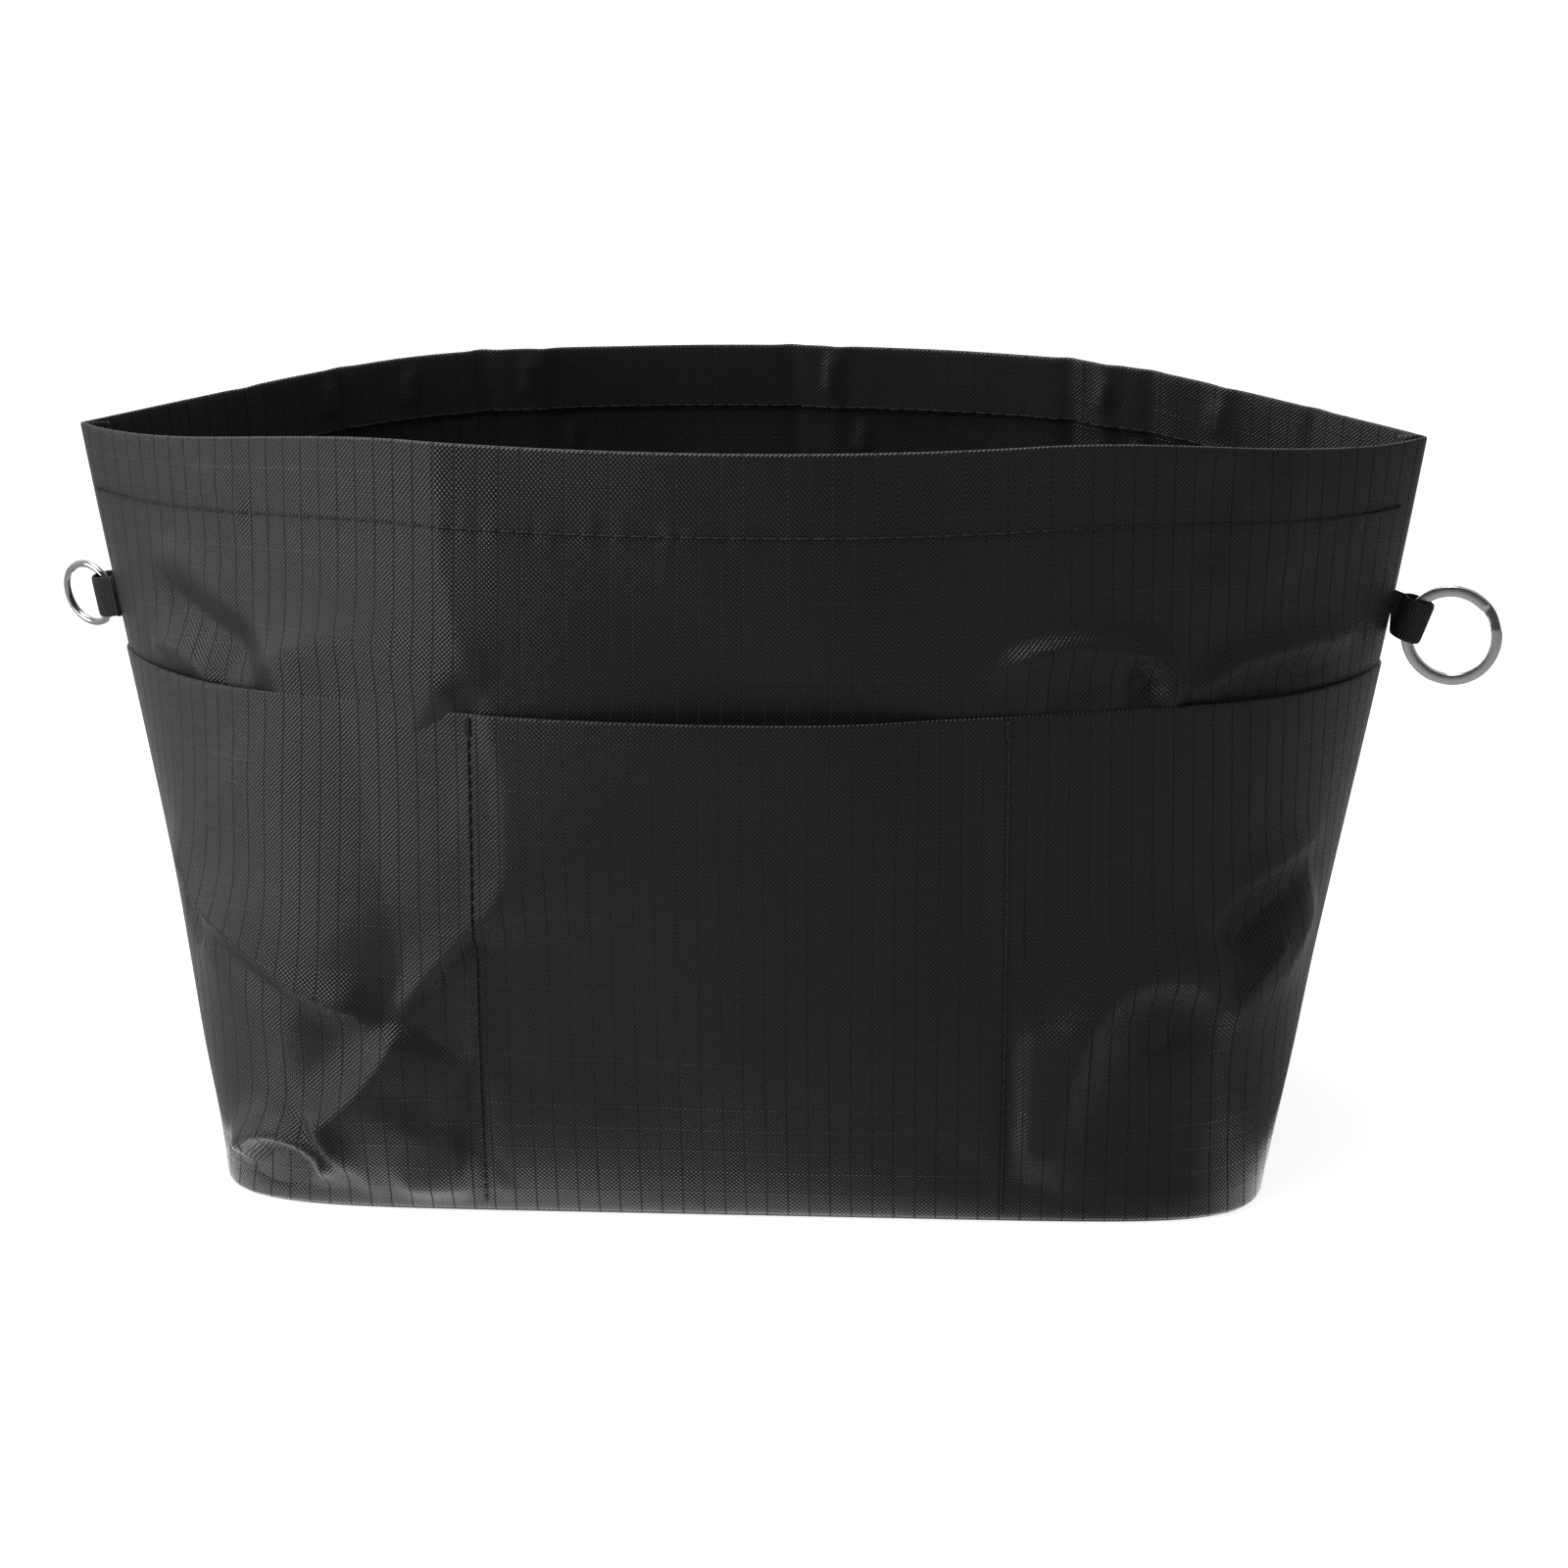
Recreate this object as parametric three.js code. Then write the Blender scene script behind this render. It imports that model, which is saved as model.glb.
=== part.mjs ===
// Purse organizer insert: a black ripstop tube with a stiff boxed base, pockets outside and
// inside, and a webbing tab with a ring on each side seam. Millimetres, +Z up, front towards -Y,
// origin at the centre of the base's underside.
import * as THREE from 'three';

// Outer form
const baseLength = 209;
const baseDepth = 102;
const mouthSpreadShare = 0.913; // length of the open mouth as a share of the tube's flat width
const middleHeight = 153; // rim above the floor at the middle of the front and back
const sideHeight = 147; // rim above the floor at a side seam
const baseCornerShare = 0.25; // powers of the section curve: small is square, 1 is an ellipse
const mouthLengthShare = 0.95;
const mouthPinchShare = 1.75; // above 1 the ends of the mouth are pinched
const lengthEaseShare = 1; // the smaller, the sooner the section changes on its way up
const pinchEaseShare = 1.4;
const flareEaseShare = 2.5;
const rimRiseShare = 0.6; // part of a quarter turn over which the rim climbs from the seam

// Cloth
const clothThickness = 0.8;
const layerGap = 0.3; // between pieces that lie against each other
const seamGap = 0.3; // between front and back pieces at a side seam
const hemDepth = 14.5;
const threadThickness = 0.5;
const threadEnd = 1; // a pocket's edge to the end of a stitch line
const hemStitchInset = 1.5; // hem stitch line above the turned edge

// Base
const boardThickness = 1.2;
const liningThickness = 0.6;
const basePanelInset = 0.3;
const boardInset = 1.5;
const liningInset = 1.2;

// Outer pockets, three bays between two sewn dividers
const outerPocketTop = 106;
const outerPocketSlack = 8;
const outerPocketFoot = 1.5; // pocket's sewn lower edge above the floor
const outerPocketRise = 40; // height over which a bay fills out
const outerDividerSpacing = 100;

// Main folds of the outer pockets' side bays: a path of [along from the middle, height], how far
// the fold reaches to its sides and how far it stands out, or in
const frontFolds = [
  { path: [[-82, 104], [-71, 80], [-65, 52], [-67, 41]], reach: 8, stand: 3 },
  { path: [[-100, 94], [-88, 76], [-86, 62]], reach: 9, stand: -3 },
  { path: [[-67, 41], [-73, 28], [-90, 14]], reach: 6, stand: 3 },
  { path: [[-126, 67], [-112, 59], [-97, 54], [-67, 41]], reach: 5, stand: 2.5 },
  { path: [[59, 10], [63, 28], [68, 43], [83, 52], [97, 45], [112, 52], [124, 63]], reach: 6, stand: 3.6 },
  { path: [[88, 34], [90, 28]], reach: 9, stand: -2 },
  { path: [[97, 58], [112, 66]], reach: 6, stand: -3 },
  { path: [[94, 60], [104, 72], [126, 75]], reach: 6, stand: 2.6 },
];
const backFolds = [
  { path: [[-60, 96], [-66, 74], [-78, 56], [-96, 44], [-120, 40]], reach: 7, stand: 3 },
  { path: [[124, 63], [106, 52], [92, 56], [80, 44], [70, 22]], reach: 7, stand: 3 },
];
const foldSeamCalm = 26; // from a side seam to the folds' full height
const foldStitchCalm = 6;

// Inner pockets, two bays each
const innerPocketTop = 96;
const innerPocketSlack = 8;
const innerPocketFoot = 4.2;
const innerPocketRise = 30;
const innerPocketEnd = 10; // sewn end, measured along the wall from the side seam
const bayFullnessShare = 0.7; // power of the bay's sine: small fills out close to its stitches
const bayLeanShare = 0.6; // below 1 a side bay is fullest towards the middle of the wall

// Side seam bindings, inside
const bindingWidth = 8;
const bindingThickness = 1.6;
const bindingSeat = 1; // inside face of the seam to the binding's edge
const bindingFoot = 6;
const bindingHemGap = 1;

// Tabs and rings on the side seams
const leftTabHeight = 111; // tab's middle above the floor
const rightTabHeight = 111;
const rightTabTilt = THREE.MathUtils.degToRad(10); // ring's end hangs below square to the seam
const tabWidth = 8.4;
const webbingThickness = 0.6;
const tabNoseRadius = 0.6;
const tabSeat = 0.3; // seam to the tab's round nose
const tabNeck = 2.9; // nose axis to loop axis
const loopClearance = 0.2;
const oRingOuter = 14;
const oRingWire = 1.5;
const splitRingOuter = 20;
const splitRingBand = 2.1; // width of the flat wire, along the ring's radius
const splitRingWire = 0.85; // thickness of the flat wire
const splitRingJog = THREE.MathUtils.degToRad(30); // where one turn steps over the other
const splitRingStart = THREE.MathUtils.degToRad(-30);
const leftTabBend = THREE.MathUtils.degToRad(-58); // to the back
const leftRingTurn = THREE.MathUtils.degToRad(26);
const rightTabBend = THREE.MathUtils.degToRad(10);
const rightRingTurn = THREE.MathUtils.degToRad(5);

// Steps
const sideBaySteps = 14;
const middleBaySteps = 14;
const sectionSteps = 240;
const foldSteps = 4;
const ringSteps = 40;
const wireSides = 10;
const splitTurnSteps = 34;
const depthHalvings = 40;
const levelShares = [0, 0.02, 0.05, 0.1, 0.18, 0.28, 0.4, 0.52, 0.64, 0.76, 0.88, 1];
const foldLevelSteps = 22; // levels of a folded piece, over the full height
const foldStationSteps = 2; // parts of the step between two stations

const black = { color: 0x1a1a1b, roughness: 0.55, metalness: 0 };
const boardGrey = { color: 0x2b2b2b, roughness: 0.7, metalness: 0 };
const steel = { color: 0xb4b5b6, roughness: 0.3, metalness: 1 };
const insert = new THREE.Group();

function smoothStep(share) {
  const t = THREE.MathUtils.clamp(share, 0, 1);
  return t * t * (3 - 2 * t);
}

function blend(low, high, share) {
  return low + (high - low) * share;
}

// Rises from 0 to 1 with the level, faster at first where the share is small.
function ease(level, share) {
  return level * (1 + share) / (level + share);
}

// A quarter of the section as shares of its half length and half depth, cos^p and sin^q of one
// angle, with the running length.
function quarterCurve(halfLength, halfDepth, lengthPower, depthPower) {
  const shares = [];
  const arcs = [];
  for (let i = 0; i <= sectionSteps; i += 1) {
    const turn = (i / sectionSteps) * Math.PI / 2;
    shares.push([Math.max(Math.cos(turn), 0) ** lengthPower, Math.sin(turn) ** depthPower]);
    const [x, y] = shares[i];
    const [lastX, lastY] = shares[Math.max(i - 1, 0)];
    arcs.push((arcs[i - 1] ?? 0) + Math.hypot(halfLength * (x - lastX), halfDepth * (y - lastY)));
  }
  return { shares, arcs, arc: arcs[sectionSteps] };
}

const quarterGirth = quarterCurve(baseLength / 2, baseDepth / 2, baseCornerShare, baseCornerShare).arc;

// The tube is sewn, so its girth is the same at every level: the half depth follows from it.
function halfDepthFor(halfLength, lengthPower, depthPower) {
  let low = 0;
  let high = quarterGirth;
  for (let i = 0; i < depthHalvings; i += 1) {
    const middle = (low + high) / 2;
    if (quarterCurve(halfLength, middle, lengthPower, depthPower).arc < quarterGirth) {
      low = middle;
    } else {
      high = middle;
    }
  }
  return (low + high) / 2;
}

const sections = new Map();

function sectionAt(level) {
  if (sections.has(level)) {
    return sections.get(level);
  }
  const mouthHalfLength = mouthSpreadShare * quarterGirth;
  const halfLength = blend(baseLength / 2, mouthHalfLength, ease(level, flareEaseShare));
  const lengthPower = blend(baseCornerShare, mouthLengthShare, ease(level, lengthEaseShare));
  const depthPower = blend(baseCornerShare, mouthPinchShare, ease(level, pinchEaseShare));
  const halfDepth = halfDepthFor(halfLength, lengthPower, depthPower);
  const curve = quarterCurve(halfLength, halfDepth, lengthPower, depthPower);
  const section = { halfLength, halfDepth, ...curve };
  sections.set(level, section);
  return section;
}

// Shares of the half length and half depth at a share of the quarter, counted from the seam.
function sharesAt(section, share) {
  const target = THREE.MathUtils.clamp(share, 0, 1) * section.arc;
  const i = Math.max(section.arcs.findIndex((arc) => arc >= target), 1);
  const step = (target - section.arcs[i - 1]) / (section.arcs[i] - section.arcs[i - 1]);
  const [low, high] = [section.shares[i - 1], section.shares[i]];
  return [blend(low[0], high[0], step), blend(low[1], high[1], step)];
}

function rimHeight(along) {
  return blend(sideHeight, middleHeight, smoothStep((1 - Math.abs(along)) / rimRiseShare));
}

// A point of the wall. face is -1 in front and 1 behind, along runs from -1 at the left seam to
// 1 at the right seam, level from 0 at the floor to 1 at the rim, offset is outward.
function wallPoint(face, along, level, offset) {
  const section = sectionAt(level);
  const [lengthShare, depthShare] = sharesAt(section, 1 - Math.abs(along));
  const half = seamGap / 2;
  const x = (section.halfLength + offset) * lengthShare;
  const y = half + (section.halfDepth + offset - half) * depthShare;
  return new THREE.Vector3(Math.sign(along) * x, face * y, level * rimHeight(along));
}

const dividerAlong = outerDividerSpacing / 2 / quarterGirth;

// Stations along a wall, shared by every layer so that the layers stay parallel.
function stationsBetween(limit) {
  const stations = [-1];
  const bays = [
    [-1, -dividerAlong, sideBaySteps],
    [-dividerAlong, dividerAlong, middleBaySteps],
    [dividerAlong, 1, sideBaySteps],
  ];
  for (const [from, to, steps] of bays) {
    for (let i = 1; i <= steps; i += 1) {
      stations.push(blend(from, to, i / steps));
    }
  }
  return stations.filter((along) => Math.abs(along) <= limit);
}

function levelsBetween(low, high, shares = levelShares) {
  return [low, ...shares.filter((level) => level > low && level < high), high];
}

// Levels of a folded piece: the shared ones near the foot, then even steps.
const evenShares = Array.from({ length: foldLevelSteps }, (_, i) => i / foldLevelSteps);
const foldShares = levelShares.filter((level) => level < evenShares[2])
  .concat(evenShares.filter((level) => level >= evenShares[2]));

// A piece with folds in its side bays: finer there, and straight between the shared stations.
function foldPiece(face, profileAt) {
  const stations = stationsBetween(1);
  const rings = [];
  for (let i = 0; i + 1 < stations.length; i += 1) {
    const inMiddleBay = Math.abs(stations[i] + stations[i + 1]) < 2 * dividerAlong;
    const steps = inMiddleBay ? 1 : foldStationSteps;
    for (let j = 0; j < steps; j += 1) {
      const share = j / steps;
      const profile = profileAt(blend(stations[i], stations[i + 1], share));
      rings.push(profile.map(([offset, level]) => wallPoint(face, stations[i], level, offset)
        .lerp(wallPoint(face, stations[i + 1], level, offset), share)));
    }
  }
  rings.push(profileAt(1).map(([offset, level]) => wallPoint(face, 1, level, offset)));
  return solidFromRings(rings);
}

// A closed solid from rings of points: every ring goes up one side of a profile and back down
// the other, so a cap is a strip between opposite points.
function solidFromRings(rings) {
  const count = rings[0].length;
  const faces = [];
  for (let i = 0; i + 1 < rings.length; i += 1) {
    for (let j = 0; j < count; j += 1) {
      const a = i * count + j;
      const b = i * count + (j + 1) % count;
      faces.push(a, b, a + count, b, b + count, a + count);
    }
  }
  const last = (rings.length - 1) * count;
  for (let a = 0; a + 1 < count / 2; a += 1) {
    for (const [b, c] of [[a + 1, count - 2 - a], [count - 2 - a, count - 1 - a]]) {
      faces.push(a, c, b);
      faces.push(last + a, last + b, last + c);
    }
  }
  return closedSolid(rings.flat(), faces);
}

function closedSolid(points, faces) {
  const positions = points.flatMap((point) => point.toArray());
  if (signedVolume(positions, faces) < 0) {
    faces.reverse();
  }
  const geometry = new THREE.BufferGeometry();
  geometry.setAttribute('position', new THREE.Float32BufferAttribute(positions, 3));
  geometry.setIndex(faces);
  geometry.computeVertexNormals();
  return geometry;
}

function signedVolume(positions, faces) {
  const corner = (index) => new THREE.Vector3().fromArray(positions, 3 * index);
  let sum = 0;
  for (let i = 0; i < faces.length; i += 3) {
    sum += corner(faces[i]).dot(corner(faces[i + 1]).cross(corner(faces[i + 2])));
  }
  return sum;
}

// A cloth piece: a closed profile of [offset, level] carried along the wall's stations.
function clothPiece(face, stations, profileAt) {
  return solidFromRings(stations.map((along) => profileAt(along)
    .map(([offset, level]) => wallPoint(face, along, level, offset))));
}

function addPiece(name, geometry, look, parent = insert) {
  const piece = new THREE.Mesh(geometry, new THREE.MeshStandardMaterial(look));
  piece.name = name;
  parent.add(piece);
  return piece;
}

// Front and back panels: one thickness of cloth with the mouth hem folded over inside.
const panelFoot = clothThickness + layerGap;
const hemFace = 2 * clothThickness + layerGap;
const hemBack = clothThickness + layerGap;
const hemLevel = 1 - hemDepth / middleHeight;
const hemStitchLevel = hemLevel + hemStitchInset / middleHeight;

function panelProfile() {
  const middle = -hemFace / 2;
  const foldLevel = 1 + middle / middleHeight;
  const face = (wallSide, radius, hemSide) => {
    const points = levelsBetween(panelFoot / middleHeight, foldLevel).map((level) => [wallSide, level]);
    for (let i = 1; i < foldSteps; i += 1) {
      const turn = Math.PI * i / foldSteps;
      const rise = radius * Math.sin(turn) / middleHeight;
      points.push([middle + radius * Math.cos(turn), foldLevel + rise]);
    }
    return points.concat([[hemSide, foldLevel], [hemSide, hemLevel]]);
  };
  const inside = face(-clothThickness, layerGap / 2, -hemBack);
  return face(0, hemFace / 2, -hemFace).concat(inside.reverse());
}

// Pockets: cloth that stands off the wall by a slack that falls to nothing at its stitches.
function slackAt(along, height, pocket) {
  const { dividers, end, slack, foot, rise } = pocket;
  const edges = [-end, ...dividers, end];
  const bay = edges.findIndex((edge, i) => along >= edge && along <= edges[i + 1]);
  if (bay < 0) {
    return 0;
  }
  const share = (along - edges[bay]) / (edges[bay + 1] - edges[bay]);
  const middleBay = edges[bay] === -edges[bay + 1];
  const inward = along < 0 ? 1 - share : share;
  const leant = middleBay ? share : inward ** bayLeanShare;
  const fullness = Math.max(Math.sin(Math.PI * leant), 0) ** bayFullnessShare;
  return slack * fullness * smoothStep((height - foot) / rise);
}

// A bell of the distance to each fold's path, calm at the seams, the stitches and the foot.
function foldAt(along, height, pocket) {
  const place = new THREE.Vector3(along * quarterGirth, height, 0);
  const nearest = new THREE.Vector3();
  let stand = 0;
  for (const fold of pocket.folds) {
    let gap = quarterGirth;
    for (let i = 0; i + 1 < fold.path.length; i += 1) {
      const [from, to] = [fold.path[i], fold.path[i + 1]].map(([x, y]) => new THREE.Vector3(x, y, 0));
      new THREE.Line3(from, to).closestPointToPoint(place, true, nearest);
      gap = Math.min(gap, nearest.distanceTo(place));
    }
    stand += fold.stand * Math.exp(-((gap / fold.reach) ** 2));
  }
  const seam = smoothStep((1 - Math.abs(along)) * quarterGirth / foldSeamCalm);
  const stitches = pocket.dividers.map((divider) => Math.abs(along - divider) * quarterGirth);
  const stitch = smoothStep(Math.min(...stitches) / foldStitchCalm);
  return stand * seam * stitch * smoothStep((height - pocket.foot) / foldStitchCalm);
}

function pocketProfile(along, pocket) {
  const { foot, top, away, shares } = pocket;
  const stretch = middleHeight / rimHeight(along);
  const levels = levelsBetween(foot / middleHeight, top / middleHeight, shares);
  const near = levels.map((level, i) => {
    const inner = away > 0 ? layerGap : clothThickness + layerGap;
    const height = level * middleHeight;
    const offset = inner + slackAt(along, height, pocket) + foldAt(along, height, pocket);
    return [away * offset, i === levels.length - 1 ? level * stretch : level];
  });
  const far = near.map(([offset, level]) => [offset + away * clothThickness, level]);
  return near.concat(far.reverse());
}

const outerPocket = {
  away: 1,
  end: 1,
  dividers: [-dividerAlong, dividerAlong],
  slack: outerPocketSlack,
  foot: outerPocketFoot,
  rise: outerPocketRise,
  top: outerPocketTop,
  shares: foldShares,
};
const outerFolds = new Map([[-1, frontFolds], [1, backFolds]]);

const innerPocket = {
  away: -1,
  end: Math.max(...stationsBetween(1 - innerPocketEnd / quarterGirth)),
  dividers: [0],
  slack: innerPocketSlack,
  foot: innerPocketFoot,
  rise: innerPocketRise,
  top: innerPocketTop,
  folds: [],
};

// A stitch line on cloth, as one thin bead of thread.
function levelThread(face, level, offset) {
  const step = threadThickness / 2;
  const rise = step / middleHeight;
  const lift = offset + layerGap + step;
  const profile = [[lift - step, level], [lift, level - rise], [lift + step, level], [lift, level + rise]];
  return clothPiece(face, stationsBetween(1), () => profile);
}

function uprightThread(face, along, pocket) {
  const step = threadThickness / 2;
  const side = step / quarterGirth;
  const outer = (pocket.away > 0 ? layerGap : clothThickness + layerGap) + clothThickness;
  const lift = pocket.away * (outer + layerGap + step);
  const low = (pocket.foot + threadEnd) / middleHeight;
  const high = (pocket.top - threadEnd) / middleHeight;
  return solidFromRings(levelsBetween(low, high).map((level) => {
    const corners = [[0, -step], [side, 0], [0, step], [-side, 0]];
    return corners.map(([shift, rise]) => wallPoint(face, along + shift, level, lift + rise));
  }));
}

// Flat pieces of the base follow the section at the height of their upper face.
function basePlate(inset, thickness, height) {
  const level = (height + thickness) / middleHeight;
  const stations = stationsBetween(1);
  const outline = stations.map((along) => wallPoint(-1, along, level, -inset));
  outline.push(...stations.reverse().map((along) => wallPoint(1, along, level, -inset)));
  const count = outline.length;
  const middles = [height, height + thickness].map((z) => new THREE.Vector3(0, 0, z));
  const points = [height, height + thickness].flatMap((z) => outline.map(({ x, y }) => (
    new THREE.Vector3(x, y, z))));
  const faces = [];
  for (let a = 0; a < count; a += 1) {
    const b = (a + 1) % count;
    faces.push(a, b, a + count, b, b + count, a + count);
    faces.push(b, a, 2 * count, a + count, b + count, 2 * count + 1);
  }
  return closedSolid([...points, ...middles], faces);
}

// A folded tape over the seam allowances, inside a side seam.
function seamBinding(side) {
  const half = bindingThickness / 2;
  const top = 1 - (hemDepth + bindingHemGap) / middleHeight;
  const rings = levelsBetween(bindingFoot / middleHeight, top).map((level) => {
    const outer = sectionAt(level).halfLength - clothThickness - bindingSeat;
    const inner = outer - bindingWidth;
    const height = level * sideHeight;
    return [[outer, -half], [outer, half], [inner, half], [inner, -half]]
      .map(([x, y]) => new THREE.Vector3(side * x, y, height));
  });
  return solidFromRings(rings);
}

// A webbing strip folded round a ring: a round nose in the seam and a loop round the wire.
function tabGeometry(loopRadius) {
  const outer = loopRadius + webbingThickness;
  const tangent = Math.acos((outer - tabNoseRadius) / tabNeck);
  const shape = new THREE.Shape();
  shape.absarc(tabNeck, 0, outer, -Math.PI + tangent, Math.PI - tangent, false);
  shape.absarc(0, 0, tabNoseRadius, Math.PI - tangent, Math.PI + tangent, false);
  const hole = new THREE.Path();
  hole.absarc(tabNeck, 0, loopRadius, 0, 2 * Math.PI, true);
  shape.holes.push(hole);
  const settings = { depth: tabWidth, bevelEnabled: false, curveSegments: wireSides };
  return new THREE.ExtrudeGeometry(shape, settings).translate(0, 0, -tabWidth / 2);
}

// How far the wire's middle curves away between the webbing's edges.
function wireSagitta(ringRadius) {
  return ringRadius - Math.sqrt(ringRadius ** 2 - (tabWidth / 2) ** 2);
}

// The loop clears the wire as it swings, and its edges clear the ring's inside.
function loopRadiusFor(ringRadius, wireRadius, holeRadius) {
  const bow = wireSagitta(ringRadius) / 2;
  const swing = bow + wireRadius + loopClearance;
  const reach = Math.sqrt(holeRadius ** 2 - (tabWidth / 2 + loopClearance) ** 2);
  return Math.max(swing, ringRadius - bow - reach);
}

function splitRingGeometry(ringRadius) {
  const half = splitRingBand / 2;
  const rise = splitRingWire + layerGap;
  const end = 4 * Math.PI - splitRingJog;
  const steps = Math.round(splitTurnSteps * end / (2 * Math.PI));
  const rings = [];
  for (let i = 0; i <= steps; i += 1) {
    const turn = end * i / steps;
    const climb = rise * smoothStep((turn - 2 * Math.PI + splitRingJog) / splitRingJog);
    const low = climb - (rise + splitRingWire) / 2;
    const place = turn + splitRingStart;
    rings.push([[-half, 0], [half, 0], [half, splitRingWire], [-half, splitRingWire]]
      .map(([out, up]) => new THREE.Vector3(
        (ringRadius + out) * Math.cos(place),
        (ringRadius + out) * Math.sin(place),
        low + up,
      )));
  }
  return solidFromRings(rings);
}

// A frame on a side seam: x points away from the bag, y to the front, z along the seam. With a
// tilt x turns down, and the frame moves out until the tab clears the seam.
function seamFrame(side, height, tilt) {
  const span = tabWidth / 2;
  const seamAt = (z) => new THREE.Vector3(side * sectionAt(z / sideHeight).halfLength, 0, z);
  const seamUp = seamAt(height + span).sub(seamAt(height - span)).normalize();
  const seamOut = new THREE.Vector3(side * seamUp.z, 0, -side * seamUp.x);
  const seat = tabSeat + tabNoseRadius + span * Math.sin(tilt);
  const up = seamUp.clone().multiplyScalar(Math.cos(tilt)).addScaledVector(seamOut, Math.sin(tilt));
  const along = side < 0 ? up : up.negate();
  const front = new THREE.Vector3(0, -1, 0);
  const outward = new THREE.Vector3().crossVectors(front, along);
  const frame = new THREE.Group();
  frame.quaternion.setFromRotationMatrix(new THREE.Matrix4().makeBasis(outward, front, along));
  frame.position.copy(seamAt(height)).addScaledVector(seamOut, seat);
  insert.add(frame);
  return frame;
}

// The tab turns at its nose and the ring at the loop's middle. Both turn to the front.
function addTabAndRing(frame, names, bends, ring) {
  const loopRadius = loopRadiusFor(ring.radius, ring.wireRadius, ring.holeRadius);
  const tab = new THREE.Group();
  tab.rotation.z = bends.tab;
  frame.add(tab);
  addPiece(names.tab, tabGeometry(loopRadius), black, tab);
  const swing = new THREE.Group();
  swing.position.x = tabNeck;
  swing.rotation.z = bends.ring;
  tab.add(swing);
  const piece = addPiece(names.ring, ring.geometry, steel, swing);
  piece.position.x = ring.radius - wireSagitta(ring.radius) / 2;
  piece.rotation.x = Math.PI / 2;
}

for (const [face, name] of [[-1, 'front'], [1, 'back']]) {
  addPiece(`${name}_panel`, clothPiece(face, stationsBetween(1), panelProfile), black);
  const outside = (along) => pocketProfile(along, { ...outerPocket, folds: outerFolds.get(face) });
  const inside = (along) => pocketProfile(along, innerPocket);
  addPiece(`${name}_outer_pocket`, foldPiece(face, outside), black);
  addPiece(`${name}_inner_pocket`, clothPiece(face, stationsBetween(innerPocket.end), inside), black);
  addPiece(`${name}_hem_thread`, levelThread(face, hemStitchLevel, 0), black);
  addPiece(`${name}_left_divider_thread`, uprightThread(face, -dividerAlong, outerPocket), black);
  addPiece(`${name}_right_divider_thread`, uprightThread(face, dividerAlong, outerPocket), black);
  addPiece(`${name}_inner_divider_thread`, uprightThread(face, 0, innerPocket), black);
}

const boardHeight = clothThickness + layerGap;
const liningHeight = boardHeight + boardThickness + layerGap;
addPiece('base_panel', basePlate(basePanelInset, clothThickness, 0), black);
addPiece('base_board', basePlate(boardInset, boardThickness, boardHeight), boardGrey);
addPiece('base_lining', basePlate(liningInset, liningThickness, liningHeight), black);
addPiece('left_seam_binding', seamBinding(-1), black);
addPiece('right_seam_binding', seamBinding(1), black);

const oRingRadius = (oRingOuter - oRingWire) / 2;
const leftNames = { tab: 'left_tab', ring: 'left_o_ring' };
const leftFrame = seamFrame(-1, leftTabHeight, 0);
addTabAndRing(leftFrame, leftNames, { tab: leftTabBend, ring: leftRingTurn }, {
  geometry: new THREE.TorusGeometry(oRingRadius, oRingWire / 2, wireSides, ringSteps),
  radius: oRingRadius,
  wireRadius: oRingWire / 2,
  holeRadius: oRingOuter / 2 - oRingWire,
});

const splitRingRadius = (splitRingOuter - splitRingBand) / 2;
const rightNames = { tab: 'right_tab', ring: 'right_split_ring' };
const rightFrame = seamFrame(1, rightTabHeight, rightTabTilt);
addTabAndRing(rightFrame, rightNames, { tab: rightTabBend, ring: rightRingTurn }, {
  geometry: splitRingGeometry(splitRingRadius),
  radius: splitRingRadius,
  wireRadius: Math.hypot(splitRingBand, 2 * splitRingWire + layerGap) / 2,
  holeRadius: splitRingOuter / 2 - splitRingBand,
});

export default insert;
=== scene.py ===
import math
from functools import partial

import bmesh
import bpy
import numpy as np
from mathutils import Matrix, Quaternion, Vector


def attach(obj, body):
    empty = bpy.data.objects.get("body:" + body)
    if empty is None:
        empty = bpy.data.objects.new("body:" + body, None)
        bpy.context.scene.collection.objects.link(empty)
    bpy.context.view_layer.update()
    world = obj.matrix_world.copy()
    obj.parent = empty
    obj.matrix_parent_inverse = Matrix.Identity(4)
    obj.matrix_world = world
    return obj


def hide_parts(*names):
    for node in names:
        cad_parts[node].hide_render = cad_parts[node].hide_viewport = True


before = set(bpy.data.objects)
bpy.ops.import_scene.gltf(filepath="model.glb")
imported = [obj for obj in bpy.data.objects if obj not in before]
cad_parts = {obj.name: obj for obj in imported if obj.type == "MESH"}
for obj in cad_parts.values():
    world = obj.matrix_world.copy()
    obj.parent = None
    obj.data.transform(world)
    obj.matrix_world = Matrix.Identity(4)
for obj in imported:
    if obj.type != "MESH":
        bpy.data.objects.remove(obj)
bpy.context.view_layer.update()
mm = 0.001

# The tube of cloth, in millimetres: x along the mouth, front towards -y, z up
bag = {
    "baseLength": 209, "baseDepth": 102,
    "mouthSpread": 0.913,  # mouth's length as a share of the flat tube
    "middleHeight": 153, "sideHeight": 147, "rimRise": 0.6,
    "baseCorner": 0.25, "mouthLengthPower": 0.95, "mouthPinch": 1.75,
    "lengthEase": 1, "pinchEase": 1.4, "flareEase": 2.5,
    "seamGap": 0.3, "clothGap": 0.35,
    "rimLift": {-1: 2.0, 1: -0.4}, "rimLiftFrom": 139,
}
wallHeight = bag["middleHeight"]
sides = {-1: "front", 1: "back"}


def smoothStep(share):
    t = np.clip(share, 0, 1)
    return t * t * (3 - 2 * t)


def unit(vectors):
    return vectors / np.maximum(np.linalg.norm(vectors, axis=-1, keepdims=True), 1e-9)


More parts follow.
